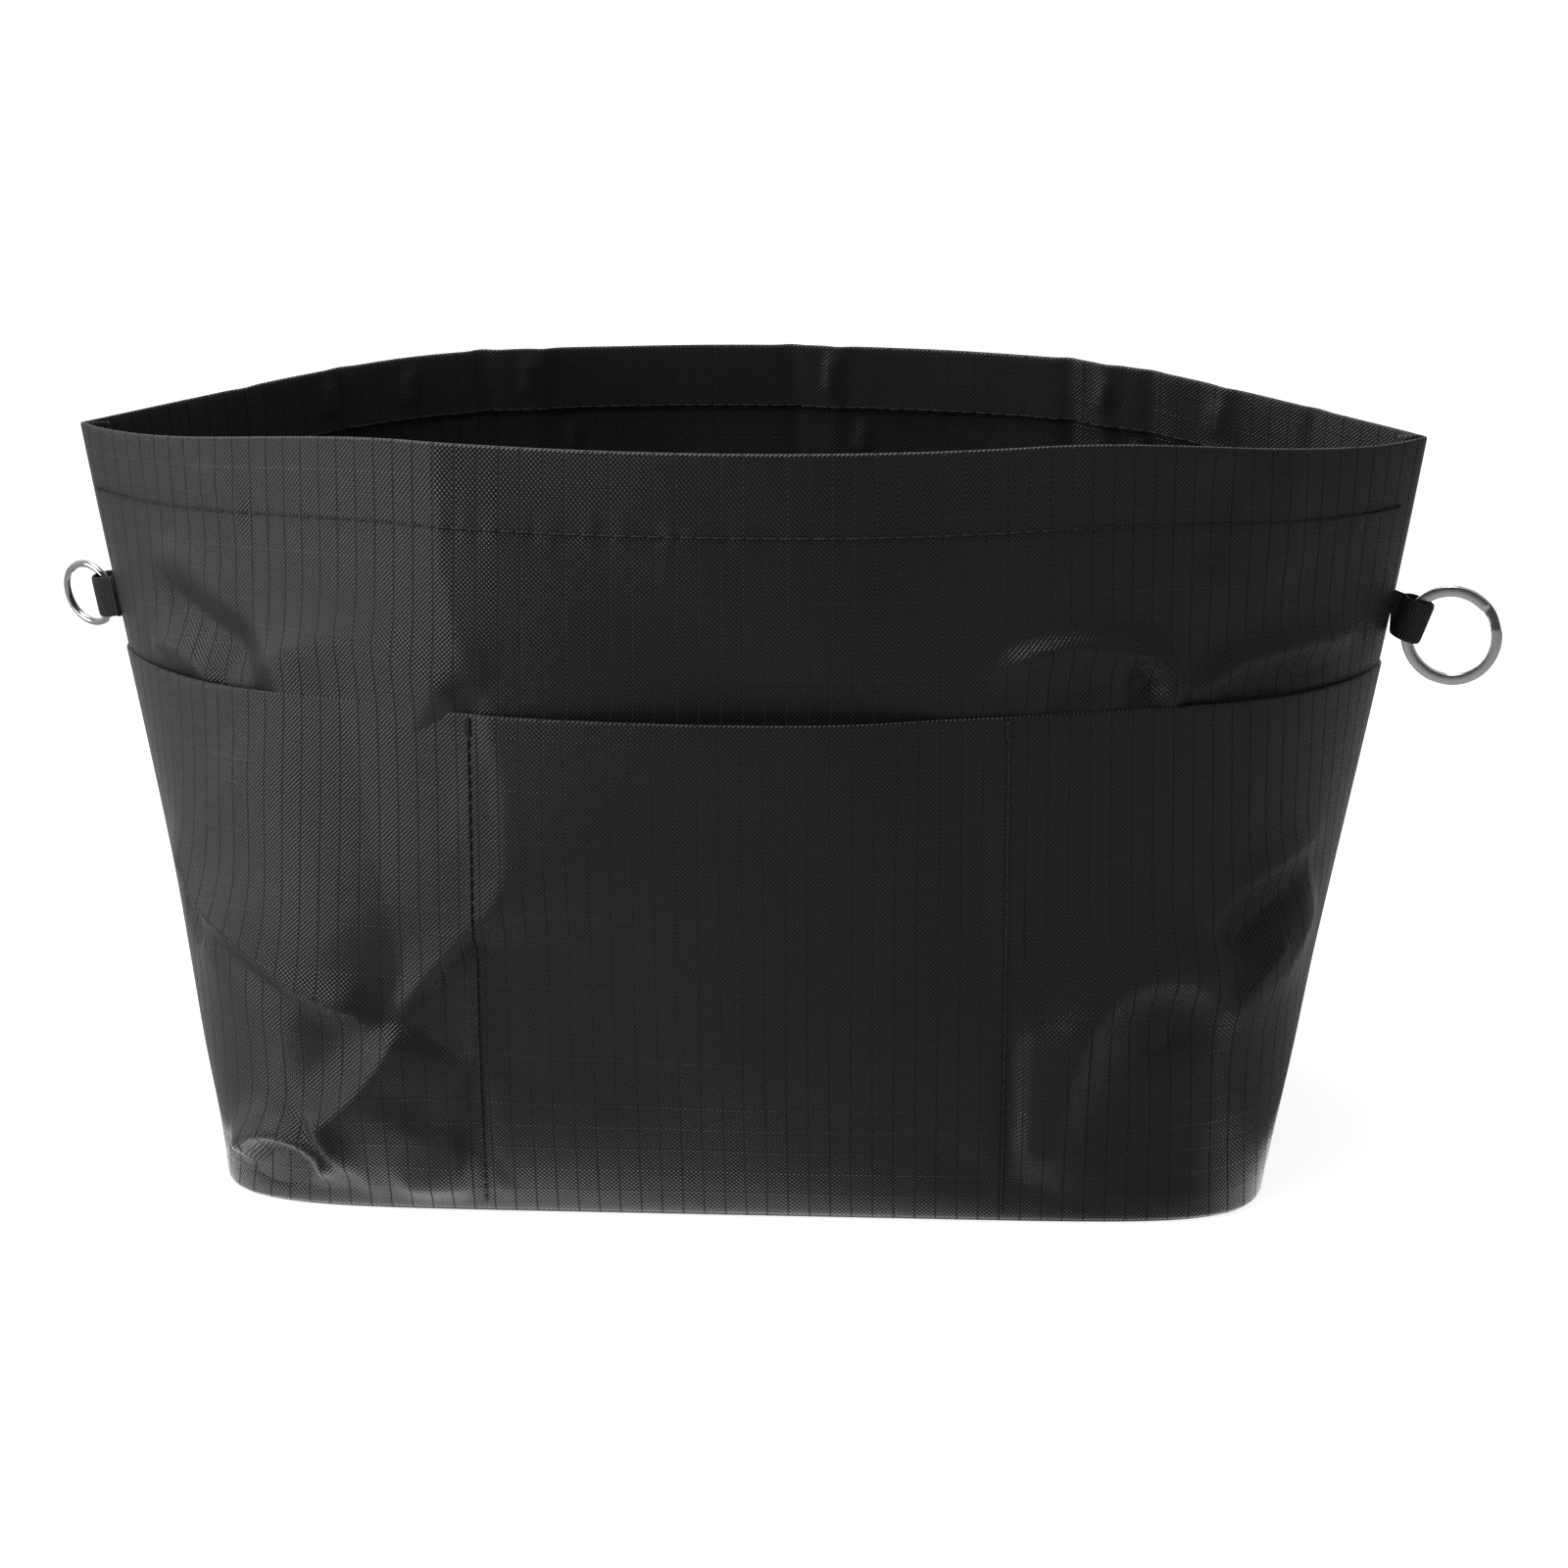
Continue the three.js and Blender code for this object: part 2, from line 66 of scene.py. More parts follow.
def ease(level, share):
    # rises from 0 to 1, faster at first where the share is small
    return level * (1 + share) / (level + share)


quarterTurn = np.linspace(0, math.pi / 2, 241)


def quarterCurve(halfLength, halfDepth, lengthPower, depthPower):
    # a quarter of the tube's section: cos^p of one angle along the length, sin^q of it in depth,
    # with the running length
    x = np.maximum(np.cos(quarterTurn), 0) ** lengthPower[:, None]
    y = np.sin(quarterTurn) ** depthPower[:, None]
    steps = np.hypot(np.diff(x) * halfLength[:, None], np.diff(y) * halfDepth[:, None])
    arcs = np.concatenate([np.zeros((len(x), 1)), np.cumsum(steps, axis=1)], axis=1)
    return x, y, arcs


baseValues = [np.array([float(v)]) for v in (
    bag["baseLength"] / 2, bag["baseDepth"] / 2, bag["baseCorner"], bag["baseCorner"])]
quarterGirth = quarterCurve(*baseValues)[2][0, -1]


def sectionsAt(levels):
    # length and corner powers ease from base to mouth, and the depth follows from the girth,
    # which is the same at every level
    mouthHalf = bag["mouthSpread"] * quarterGirth
    baseHalf = bag["baseLength"] / 2
    corner = bag["baseCorner"]
    halfLength = baseHalf + (mouthHalf - baseHalf) * ease(levels, bag["flareEase"])
    lengthPower = corner + (bag["mouthLengthPower"] - corner) * ease(levels, bag["lengthEase"])
    depthPower = corner + (bag["mouthPinch"] - corner) * ease(levels, bag["pinchEase"])
    low, high = np.zeros_like(levels), np.full_like(levels, quarterGirth)
    for _ in range(36):
        middle = (low + high) / 2
        arc = quarterCurve(halfLength, middle, lengthPower, depthPower)[2][:, -1]
        short = arc < quarterGirth
        low, high = np.where(short, middle, low), np.where(short, high, middle)
    halfDepth = (low + high) / 2
    return halfLength, halfDepth, quarterCurve(halfLength, halfDepth, lengthPower, depthPower)


def rimHeight(along):
    rise = smoothStep((1 - np.abs(along)) / bag["rimRise"])
    return bag["sideHeight"] + (wallHeight - bag["sideHeight"]) * rise


def wallGrid(face, along, levels):
    # the bare wall: each level is a section curve, walked by its running length from the seam
    halfLength, halfDepth, (x, y, arcs) = sectionsAt(levels)
    share = np.clip(1 - np.abs(along), 0, 1)
    gap = bag["seamGap"] / 2
    points = np.empty((len(levels), len(along), 3))
    for i in range(len(levels)):
        target = share * arcs[i, -1]
        points[i, :, 0] = np.sign(along) * halfLength[i] * np.interp(target, arcs[i], x[i])
        depth = gap + (halfDepth[i] - gap) * np.interp(target, arcs[i], y[i])
        points[i, :, 1] = face * depth
        points[i, :, 2] = levels[i] * rimHeight(along)
    return points


def gridNormals(points, face):
    # outward normals from the differences along and up the grid
    across = np.gradient(points, axis=1)
    up = np.gradient(points, axis=0)
    return unit(np.cross(across, up) * -face)


wallLevels = np.concatenate([np.linspace(0, 0.1, 14)[:-1], np.linspace(0.1, 1, 84)])
wallAlong = np.linspace(-1, 1, 401)
wallNormals = {face: gridNormals(wallGrid(face, wallAlong, wallLevels), face) for face in sides}


def normalsAt(face, along, levels):
    # the wall's normals at any station and level, by straight interpolation
    row = np.interp(levels, wallLevels, np.arange(len(wallLevels)))
    column = np.interp(along, wallAlong, np.arange(len(wallAlong)))
    r0 = np.minimum(row.astype(int), len(wallLevels) - 2)
    c0 = np.minimum(column.astype(int), len(wallAlong) - 2)
    r, c = (row - r0)[:, None, None], (column - c0)[None, :, None]
    table = wallNormals[face]
    low = table[np.ix_(r0, c0)] * (1 - c) + table[np.ix_(r0, c0 + 1)] * c
    high = table[np.ix_(r0 + 1, c0)] * (1 - c) + table[np.ix_(r0 + 1, c0 + 1)] * c
    return unit(low * (1 - r) + high * r)


print("stage: wall ready, flat width", round(2 * quarterGirth, 1), "mm")


# Folds, each a height over the cloth's own coordinates: s along from the middle, z up

def smoothPath(points, count=60):
    # a curve through the points, by a cubic through each four of them
    p = np.array(points, float)
    p = np.concatenate([[2 * p[0] - p[1]], p, [2 * p[-1] - p[-2]]])
    t = np.linspace(0, len(p) - 3, count)
    i = np.minimum(t.astype(int), len(p) - 4)
    t = (t - i)[:, None]
    a, b, c, d = p[i], p[i + 1], p[i + 2], p[i + 3]
    return 0.5 * (2 * b + (c - a) * t + (2 * a - 5 * b + 4 * c - d) * t ** 2
                  + (3 * b - a - 3 * c + d) * t ** 3)


def ridge(s, z, points, left, right, height, tail=0.2, sharp=2):
    # height times a bell of the distance to a path, wide by `left` on its left side and by
    # `right` on its right side, fading over the tail share at both ends; below 2 the crest is
    # an edge
    path = smoothPath(points)
    a, b = path[:-1], path[1:]
    run = b - a
    best = np.full(s.shape, 1e9)
    side = np.zeros(s.shape)
    place = np.zeros(s.shape)
    for k in range(len(a)):
        ds, dz = s - a[k, 0], z - a[k, 1]
        t = np.clip((ds * run[k, 0] + dz * run[k, 1]) / max(run[k] @ run[k], 1e-9), 0, 1)
        away = np.hypot(ds - t * run[k, 0], dz - t * run[k, 1])
        near = away < best
        best = np.where(near, away, best)
        side = np.where(near, run[k, 0] * dz - run[k, 1] * ds, side)
        place = np.where(near, (k + t) / len(a), place)
    width = np.where(side > 0, left, right)
    fade = smoothStep(place / tail) * smoothStep((1 - place) / tail) if tail else 1
    return height * np.exp(-(best / width) ** sharp) * fade


def bump(s, z, place, size, height, turn=0):
    # a round or oval bell, turned by an angle
    a = math.radians(turn)
    ds, dz = s - place[0], z - place[1]
    u = (ds * math.cos(a) + dz * math.sin(a)) / size[0]
    v = (dz * math.cos(a) - ds * math.sin(a)) / size[1]
    return height * np.exp(-u ** 2 - v ** 2)


def unevenness(s, z, seed, height, longest=60, shortest=14):
    # a sum of waves in seeded directions
    draw = np.random.default_rng(seed)
    total = np.zeros(s.shape)
    for _ in range(14):
        wave = draw.uniform(shortest, longest)
        turn = draw.uniform(0, math.pi)
        start = draw.uniform(0, 2 * math.pi)
        phase = 2 * math.pi * (s * math.cos(turn) + z * math.sin(turn)) / wave + start
        total += np.sin(phase) * wave / longest
    return height * total / 14 ** 0.5


def pucker(s, z, line, pitch, reach, height, seed):
    # small gathers that run out of a stitch line at height `line`, uneven in size
    draw = np.random.default_rng(seed)
    size = np.interp(s, np.linspace(-150, 150, 80), draw.uniform(0.2, 1, 80))
    shift = np.interp(s, np.linspace(-150, 150, 60), draw.uniform(-3, 3, 60))
    return height * size * np.sin(2 * math.pi * (s + shift) / pitch) * np.exp(-np.abs(z - line) / reach)


# Meshes

def addObject(name, data):
    thing = bpy.data.objects.new(name, data)
    bpy.context.scene.collection.objects.link(thing)
    return thing


def addMesh(name, points, faces, maps=None):
    mesh = bpy.data.meshes.new(name)
    mesh.from_pydata((points * mm).tolist(), [], faces.tolist())
    mesh.shade_smooth()
    if maps is not None:
        layer = mesh.uv_layers.new(name="clothMap")
        layer.data.foreach_set("uv", maps[faces.ravel()].astype(np.float32).ravel())
    mesh.validate()
    return addObject(name, mesh)


def gridFaces(rows, columns, closeRows=False, closeColumns=False):
    r = np.arange(rows if closeRows else rows - 1)
    c = np.arange(columns if closeColumns else columns - 1)
    r, c = [v.ravel() for v in np.meshgrid(r, c, indexing="ij")]
    nextR, nextC = (r + 1) % rows, (c + 1) % columns
    return np.stack([r * columns + c, r * columns + nextC,
                     nextR * columns + nextC, nextR * columns + c], axis=1)


def addGrid(name, points, maps, flip=False, closeRows=False, closeColumns=False):
    rows, columns = points.shape[:2]
    faces = gridFaces(rows, columns, closeRows, closeColumns)
    if flip:
        faces = faces[:, ::-1]
    return addMesh(name, points.reshape(-1, 3), faces, maps.reshape(-1, 2))


def gridOf(*parts):
    # the points whose coordinates are these arrays, each spread over the whole grid
    return np.stack(np.broadcast_arrays(*parts), axis=-1)


def thicken(piece, thickness):
    # the wall grows inwards from the outer surface
    layer = piece.modifiers.new("thickness", "SOLIDIFY")
    layer.thickness = thickness * mm
    layer.offset = -1
    layer.use_quality_normals = True
    return piece


def weld(piece):
    # poles become one point each, and faces point outwards
    work = bmesh.new()
    work.from_mesh(piece.data)
    bmesh.ops.remove_doubles(work, verts=work.verts, dist=1e-7)
    bmesh.ops.recalc_face_normals(work, faces=work.faces)
    work.to_mesh(piece.data)
    work.free()
    return piece


def runAlong(points):
    # the running length of a path, from 0
    return np.concatenate([[0], np.cumsum(np.linalg.norm(np.diff(points, axis=0), axis=1))])


def stationsAt(place, run, values):
    # the columns of a path's values at given running lengths
    return np.stack([np.interp(place, run, column) for column in values.T], axis=1)


def roundTurn(count):
    return np.linspace(0, 2 * math.pi, count, endpoint=False)


def capped(rings):
    # closes a tube: the middle of its first and last ring, each as a ring of its own
    ends = [rings[[k]].mean(axis=1, keepdims=True).repeat(rings.shape[1], axis=1) for k in (0, -1)]
    return np.concatenate([ends[0], rings, ends[1]])


def squared(wave, power):
    # a sine or cosine with its round tops pressed flat, for sections with round edges
    return np.sign(wave) * np.abs(wave) ** power


# Layers of cloth

crease = {
    "height": 3.4, "reach": 26, "power": 1.1,
    # its two lines, as (z, s)
    "foot": [(40, -68), (52, -65), (65, -67.5), (80, -71), (95, -74), (104, -78), (120, -92), (150, -100)],
    "crest": [(40, -62), (56, -50), (74, -42.5), (92, -42.5), (107, -46), (118, -51), (130, -54.5),
              (153, -56)],
    # its lower end: a diagonal that starts at (s, z), and its softness
    "end": (-64, 41), "slope": 1.1, "run": 15, "soft": 6, "spread": 40,
}


def wallBends(face, s, z):
    # a crease through the wall and its pocket alike, on the front: it climbs from one line over to
    # the next, is highest there, and dies out beyond it as exp(-distance / reach)
    if face > 0:
        return 0 * s
    foot, crest = [np.interp(z, *np.transpose(crease[line])) for line in ("foot", "crest")]
    climb = np.clip((s - foot) / (crest - foot), 0, 1) ** crease["power"]
    beyond = np.exp(-np.maximum(s - crest, 0) / crease["reach"])
    # its lower end rises along the diagonal to the crest, and spreads out past it
    endS, endZ = crease["end"]
    start = endZ + crease["slope"] * np.clip(s - endS, 0, crease["run"])
    soft = crease["soft"] + np.clip(s - endS - crease["run"], 0, crease["spread"])
    return crease["height"] * climb * beyond * smoothStep((z - start) / soft)


def clothLayer(face, along, profile, heights):
    # a layer of cloth: wall + normal * (offset + folds + crease). Each profile entry is an offset
    # from the wall and a level, and `heights` gives the folds as a function of s and z
    offsets, levels = np.transpose(profile)
    base = wallGrid(face, along, levels)
    s = np.broadcast_to(along * quarterGirth, base.shape[:2])
    z = np.broadcast_to((levels * wallHeight)[:, None], base.shape[:2])
    lift = offsets[:, None] + heights(s, z) + wallBends(face, s, z)
    points = base + normalsAt(face, along, levels) * lift[..., None]
    # the rim is raised or lowered a little in its middle
    top = smoothStep((z - bag["rimLiftFrom"]) / (wallHeight - bag["rimLiftFrom"]))
    crown = top * smoothStep((1 - np.abs(s) / quarterGirth) / bag["rimRise"])
    points[..., 2] += bag["rimLift"][face] * crown
    return points


def clothMaps(along, profile):
    # the cloth's own length and height, so that the weave runs over every turn
    offsets, levels = np.transpose(profile)
    levels = levels * wallHeight
    run = levels[0] + np.append(0, np.cumsum(np.hypot(np.diff(levels), np.diff(offsets))))
    return gridOf(along * quarterGirth, run[:, None]) * mm


def seamTurned(points, maps, face, insets):
    # the seam allowance: the last station at each end is carried on into the bag
    def turnedIn(end, inward):
        copies = np.repeat(points[:, [end]], len(insets), axis=1)
        copies[..., 0] += inward * np.array(insets)
        copies[..., 1] = face * bag["clothGap"]
        flat = np.repeat(maps[:, [end]], len(insets), axis=1)
        flat[..., 0] -= inward * np.array(insets) * mm
        return copies, flat
    low, high = turnedIn(0, 1), turnedIn(-1, -1)
    return [np.concatenate([first[:, ::-1], middle, last], axis=1)
            for first, middle, last in zip(low, (points, maps), high)]


def hemmedProfile(layer):
    # up the cloth, over a round fold and down the hem on the side away from the viewer
    stand, radius, away = layer["stand"], layer["hemRadius"], layer.get("away", 1)
    foot, fold, hemEnd = [z / wallHeight for z in (
        layer["foot"], layer["top"] - radius, layer["top"] - layer["hemDepth"])]
    up = [(stand, level) for level in np.linspace(foot, fold, layer["rows"])]
    over = [(stand - away * radius * (1 - math.cos(t)), fold + radius * math.sin(t) / wallHeight)
            for t in np.linspace(0, math.pi, 7)[1:]]
    down = [(stand - 2 * away * radius, level) for level in np.linspace(fold, hemEnd, layer["hemRows"])[1:]]
    return up + over + down


clothPieces, clothHeights = {}, {}


def addLayers(kind, layer, profile, lift):
    # front and back of one kind, whose folds `lift` gives as a function of face, s and z
    end = layer.get("end", 1)
    along = np.linspace(-end, end, layer["columns"])
    for face, word in sides.items():
        clothHeights[kind, face] = heights = partial(lift, face)
        points, maps = clothLayer(face, along, profile, heights), clothMaps(along, profile)
        if "seamInsets" in layer:
            points, maps = seamTurned(points, maps, face, layer["seamInsets"])
        piece = addGrid(f"{word}{kind}Cloth", points, maps, flip=face * layer.get("away", 1) > 0)
        clothPieces[f"{word}{kind}"] = thicken(piece, layer["thickness"])


def foldSum(s, z, ridges, bumps=()):
    return sum(ridge(s, z, *row) for row in ridges) + sum(bump(s, z, *row) for row in bumps)


# Front and back panels. A row of a ridge table is path, width left and right, height, tail and
# sharpness; one of a bump table is place, size, height and turn

panel = {
    "thickness": 0.25, "foot": 0.9, "top": wallHeight, "columns": 270, "rows": 128,
    "hemRadius": 0.5, "hemDepth": 14.5, "hemRows": 12, "stand": 0.0, "stitchDown": 13.6,
    "seamInsets": [0.8, 2.4, 5], "seamCalm": 0.04, "rightCalm": {-1: 0.15, 1: 0.04},
}
hemLine = panel["top"] - panel["stitchDown"]

panelRidges = {-1: [
    # the sweep over the left pocket, ending in a hook at the divider
    ([(-100, 108), (-90, 112), (-82, 115.5), (-74, 116.5), (-66, 114.5), (-57, 110), (-49, 104)],
     6, 13, 2.8, 0.14, 1.3),
    # under the left tab
    ([(-130, 108), (-122, 110.5), (-114, 108.5), (-106, 103)], 2.4, 3, 1.8, 0.2, 1.5),
    ([(-130, 124), (-117, 119), (-104, 113), (-97, 107)], 5, 4, -2.2, 0.3),
    ([(-128, 130), (-112, 126), (-98, 118)], 4, 6, 1.0, 0.3),
    ([(-110, 150), (-104, 143), (-96, 138)], 4, 5, 0.5, 0.3),
    # the ridge and hook over the right pocket
    ([(46, 112), (56, 116), (66, 117.5), (77, 116), (83.5, 113), (85.5, 107.6), (83, 101)],
     2.6, 4, 3.0, 0.2, 1.5),
    ([(87, 105), (95, 110), (104, 113.2), (120, 115), (134, 114)], 3, 5, 2.0, 0.2, 1.5),
    ([(58, 104), (65, 109), (74, 111.5)], 2.5, 3, -0.9, 0.3),
    # faint folds up to the rim
    ([(93, 152), (95, 140), (92, 128)], 4, 4, -0.8, 0.3),
    ([(112, 153), (111, 140), (114, 126)], 4, 6, 0.8, 0.3),
]}
panelBumps = {-1: [
    ((79.5, 109.5), (3.4, 3.4), -2.2),
    ((116, 109.5), (9, 3), -1.4, 10),
    ((0, 104), (50, 14), -1.6),  # broad hollow over the middle bay
], 1: []}
# creases left from folding: where the flat cloth was bent, it keeps an edge
panelRidges[1] = [
    ([(place - lean, 155), (place, 130), (place + lean, 100)], 2.2, 2.2, height, 0)
    for place, height, lean in [(-108, -0.5, 2), (-88, 0.5, 1), (-57, 0.8, 2), (-48, -0.5, -2), (7, 0.5, 1),
                                (15, -0.5, -1), (66, 0.7, 1), (73, -0.6, 0), (84, 0.5, 1), (101, -0.5, 2),
                                (120, 0.5, 0)]]
# short sharp ones above and below the hem's stitches, standing into the bag
panelRidges[1] += [
    ([(place, low), (place + 0.7, high)], 1.4, 1.1, -0.75, 0.25, 1.6)
    for place, low, high in [(-92, 142, 151), (-75, 141, 151), (-50, 141, 152), (-40.5, 128, 137),
                             (14, 141, 152), (21, 128, 137), (73, 142, 151), (80.5, 129, 137),
                             (98, 141, 150)]]
panelRidges[1] += [
    ([(-120, 118), (-95, 112), (-70, 116), (-45, 108)], 6, 4, 2.2),
    ([(120, 112), (96, 117), (72, 112), (55, 116)], 4, 6, 2.2),
]
# seed, height, longest and shortest wave; then pitch, reach, height and seed
panelUneven = {-1: (3, 0.35, 70, 20), 1: (8, 0.35, 80, 24)}
panelPucker = {-1: (7.3, 2.6, 0.18, 5), 1: (7.7, 2.6, 0.12, 12)}


def panelLift(face, s, z):
    lift = unevenness(s, z, *panelUneven[face]) + pucker(s, z, hemLine, *panelPucker[face])
    lift += foldSum(s, z, panelRidges[face], panelBumps[face])
    # the folds die out at the seams, on the front sooner at the right, where the tab bends
    calm = np.where(s > 0, panel["rightCalm"][face], panel["seamCalm"])
    return lift * smoothStep((1 - np.abs(s) / quarterGirth) / calm)


addLayers("Panel", panel, hemmedProfile(panel), panelLift)
print("stage: panels")


# Outer pockets: a second layer, sewn at the foot, the seams and two dividers

outerPocket = {
    "thickness": 0.25, "foot": 1.2, "top": 105, "columns": 290, "rows": 104,
    "hemRadius": 0.4, "hemDepth": 12, "hemRows": 8, "stand": 0.5, "seamInsets": [0.8, 2.2],
    "dividers": {-1: (-49.5, 52.5), 1: (-50, 50)},
    # how far each bay stands off, as shares of the slack, and the middle bay's form
    "slack": 8, "rise": 40, "middleShare": {-1: 0.3, 1: 1.0}, "middlePower": {-1: 1.1, 1: 0.9},
    "sideShare": {-1: 0.34, 1: 0.8}, "sidePower": 1.4, "seamShare": 0.55, "dividerShare": 0.9,
    # where the folds die out: at a stitch, at the foot and towards a seam
    "stitchReach": 5, "footReach": 5, "sideCalm": 38,
}

pocketRidges = {-1: [
    # left bay: a smooth roll down towards the knee
    ([(-104, 98), (-96, 86), (-86, 72), (-78, 60), (-72, 50)], 14, 12, 1.0, 0.25),
    # the sharp fold from the side edge to the knee, with the puffed cloth under it
    ([(-132, 70), (-121, 66), (-112, 59.5), (-97, 53), (-86, 47), (-76, 43.5), (-67, 41)],
     8, 2.2, 3.4, 0.2, 1.3),
    ([(-118, 56), (-104, 48), (-90, 40), (-79, 34)], 6, 8, 1.6, 0.3),
    ([(-124, 60), (-117, 54), (-111, 50)], 1.8, 2.4, -2.0, 0.3, 1.5),
    # the lower bend, from the knee to the pouch in the corner, and the pouch's rim
    ([(-64.5, 42), (-68, 34), (-74, 26), (-80, 20), (-84, 17)], 12, 4.5, 3.6, 0.15, 1.3),
    ([(-99.5, 7), (-98, 12), (-93, 15.2), (-86.5, 15.2), (-81.5, 11.5), (-81.5, 4)],
     4, 3.4, 5.0, 0.16, 1.6),
    # the hollow right of the knee, and the soft fold at the divider's foot
    ([(-57, 42), (-60, 30), (-66, 18)], 7, 8, -1.2, 0.3),
    ([(-66, 1), (-57, 7), (-48, 14)], 7, 8, 1.5, 0.2),
    # right bay: an S that rises from the foot, arches over and runs out to the seam
    ([(57, 8), (59.5, 16), (62.6, 28), (67.5, 42), (74, 50), (83, 52.5), (91, 50), (97, 44.5), (104, 47),
      (112, 52.5), (119, 60), (126, 64)], 10, 7, 3.6, 0.12, 1.5),
    ([(97, 44), (101, 48.5), (106, 53), (111, 57)], 1.6, 2.6, 1.3, 0.25, 1.5),
    # the valley over it with a ridge above, and two broad faint folds
    ([(120, 68), (109, 64.5), (101, 60), (96, 54)], 3.6, 4, -1.6, 0.2),
    ([(128, 75), (118, 73.5), (107, 70.5), (98, 66), (94, 60)], 2.6, 4, 1.0, 0.2, 1.5),
    ([(109, 106), (104, 92), (99.5, 79), (95, 65)], 12, 18, 0.5, 0.16, 1.1),
    ([(97, 40), (98, 28), (100, 14)], 8, 9, 0.2, 0.3),
    # a shallow valley that runs over the right divider
    ([(37, 112), (42, 95), (50, 75), (57, 58), (64, 40)], 16, 14, -1.1, 0.1, 1.2),
], 1: [
    ([(-60, 96), (-66, 74), (-78, 56), (-96, 44), (-120, 40)], 6, 4, 3),
    ([(-128, 78), (-106, 70), (-88, 62)], 3, 4, 2),
    ([(128, 64), (106, 52), (92, 56), (80, 44), (70, 22)], 4, 6, 3.2),
    ([(64, 98), (74, 80), (92, 72), (116, 76)], 5, 4, 2.2),
]}
pocketBumps = {-1: [
    ((-90, 8.5), (5.5, 3.6), -3.0, 8),  # inside the pouch
    ((83, 41), (9, 6), -2.4, 10),  # under the arch
    # middle bay: a slight sag at the edge, and a hollow
    ((2, 100), (34, 12), 0.8),
    ((-20, 50), (24, 30), -0.8),
], 1: [((-92, 22), (14, 9), 2.4, 20), ((10, 60), (30, 34), -1)]}
# seed, height, longest and shortest wave
pocketUneven = {-1: (21, 0.3, 60, 18), 1: (31, 0.4, 60, 18)}


def bayFullness(s, edges, power, lean=1):
    # a power of a half wave in each bay; a bay beside the middle leans to it by a power of its share
    full = np.zeros(np.shape(s))
    for low, high in zip(edges[:-1], edges[1:]):
        share = np.clip((s - low) / (high - low), 0, 1)
        share = share ** lean if low + high >= 0 else (1 - share) ** lean
        full += np.maximum(np.sin(math.pi * share), 0) ** power * ((s > low) & (s < high))
    return full


def pocketLift(face, s, z):
    # stands off the wall by the bay's fullness, and everything dies out at the stitches
    low, high = outerPocket["dividers"][face]
    full = bayFullness(s, (low, high), outerPocket["middlePower"][face]) * outerPocket["middleShare"][face]
    # a side bay keeps close to the wall at its seam, and runs out gently at its divider
    for side, divider in ((-1, low), (1, high)):
        share = np.clip((quarterGirth - side * s) / (quarterGirth - side * divider), 0, 1)
        loose = smoothStep(share / outerPocket["seamShare"]) ** outerPocket["sidePower"]
        loose *= smoothStep((1 - share) / outerPocket["dividerShare"]) * outerPocket["sideShare"][face]
        full = np.where(side * s >= side * divider, loose, full)
    above = z - outerPocket["foot"]
    near = np.minimum.reduce([np.abs(s - edge) for edge in (-quarterGirth, low, high, quarterGirth)])
    held = smoothStep(near / outerPocket["stitchReach"]) * smoothStep(above / outerPocket["footReach"])
    folds = unevenness(s, z, *pocketUneven[face]) + foldSum(s, z, pocketRidges[face], pocketBumps[face])
    held *= smoothStep((quarterGirth - np.abs(s)) / outerPocket["sideCalm"])
    return outerPocket["slack"] * full * smoothStep(above / outerPocket["rise"]) + folds * held


# the sewn foot turns under, to the base
outerProfile = [(outerPocket["stand"] - drop, z / wallHeight)
                for drop, z in ((2.2, 0.3), (1.2, 0.3), (0.5, 0.45), (0.15, 0.75))]
addLayers("OuterPocket", outerPocket, outerProfile + hemmedProfile(outerPocket), pocketLift)
print("stage: outer pockets")


# Inner pockets: sewn at the foot, both ends and one divider in the middle

innerPocket = {
    "thickness": 0.2, "foot": 4.2, "top": 96, "slack": 7, "rise": 30, "lean": 0.6, "power": 0.7,
    "end": 0.925, "columns": 180, "rows": 62, "hemRadius": 0.35, "hemDepth": 10, "hemRows": 6,
    "stand": -1.4, "away": -1, "stitchReach": 8, "seeds": {-1: 41, 1: 47},
}
innerRidges = [
    ([(-70, 92), (-60, 66), (-76, 40)], 6, 5, 1.6),
    ([(58, 90), (72, 60), (66, 34)], 5, 6, 1.4),
]


def innerLift(face, s, z):
    end = innerPocket["end"] * quarterGirth
    edges = (-end, 0, end)
    full = bayFullness(s, edges, innerPocket["power"], innerPocket["lean"])
    rise = smoothStep((z - innerPocket["foot"]) / innerPocket["rise"])
    near = np.minimum.reduce([np.abs(s - edge) for edge in edges])
    loose = unevenness(s, z, innerPocket["seeds"][face], 0.6, 60, 20)
    loose *= smoothStep(near / innerPocket["stitchReach"])
    loose += foldSum(s, z, innerRidges)
    return -(innerPocket["slack"] * full + loose * (near > 0)) * rise


addLayers("InnerPocket", innerPocket, hemmedProfile(innerPocket), innerLift)
print("stage: inner pockets")


# Base: the cloth underneath with its edge turned up, and the lining over the board

base = {
    "inset": 0.9, "thickness": 0.3, "level": 0.008, "turnUp": [(0, 0.4), (0.15, 2.4)], "columns": 480,
    "liningInset": 1.6, "liningHeight": 3.25, "liningLevel": 0.02, "liningTurnUp": [(0, 0.3), (0.1, 0.8)],
    # waves of the whole plate, calm at its edge, and how much of them the lining takes
    "waveHeight": 0.16, "waveLengths": (17, 13), "waveHalf": (104, 51), "waveCalm": 0.15, "liningWaves": 0.8,
}


def roundOutline(level, inset):
    # the whole section at one level, round from the left seam by the front
    along = np.linspace(-1, 1, base["columns"] // 2 + 1)
    level = np.array([level])
    low, high = [wallGrid(face, along, level)[0] - normalsAt(face, along, level)[0] * inset for face in sides]
    return np.concatenate([low[:-1], high[::-1][:-1]])[:, :2]


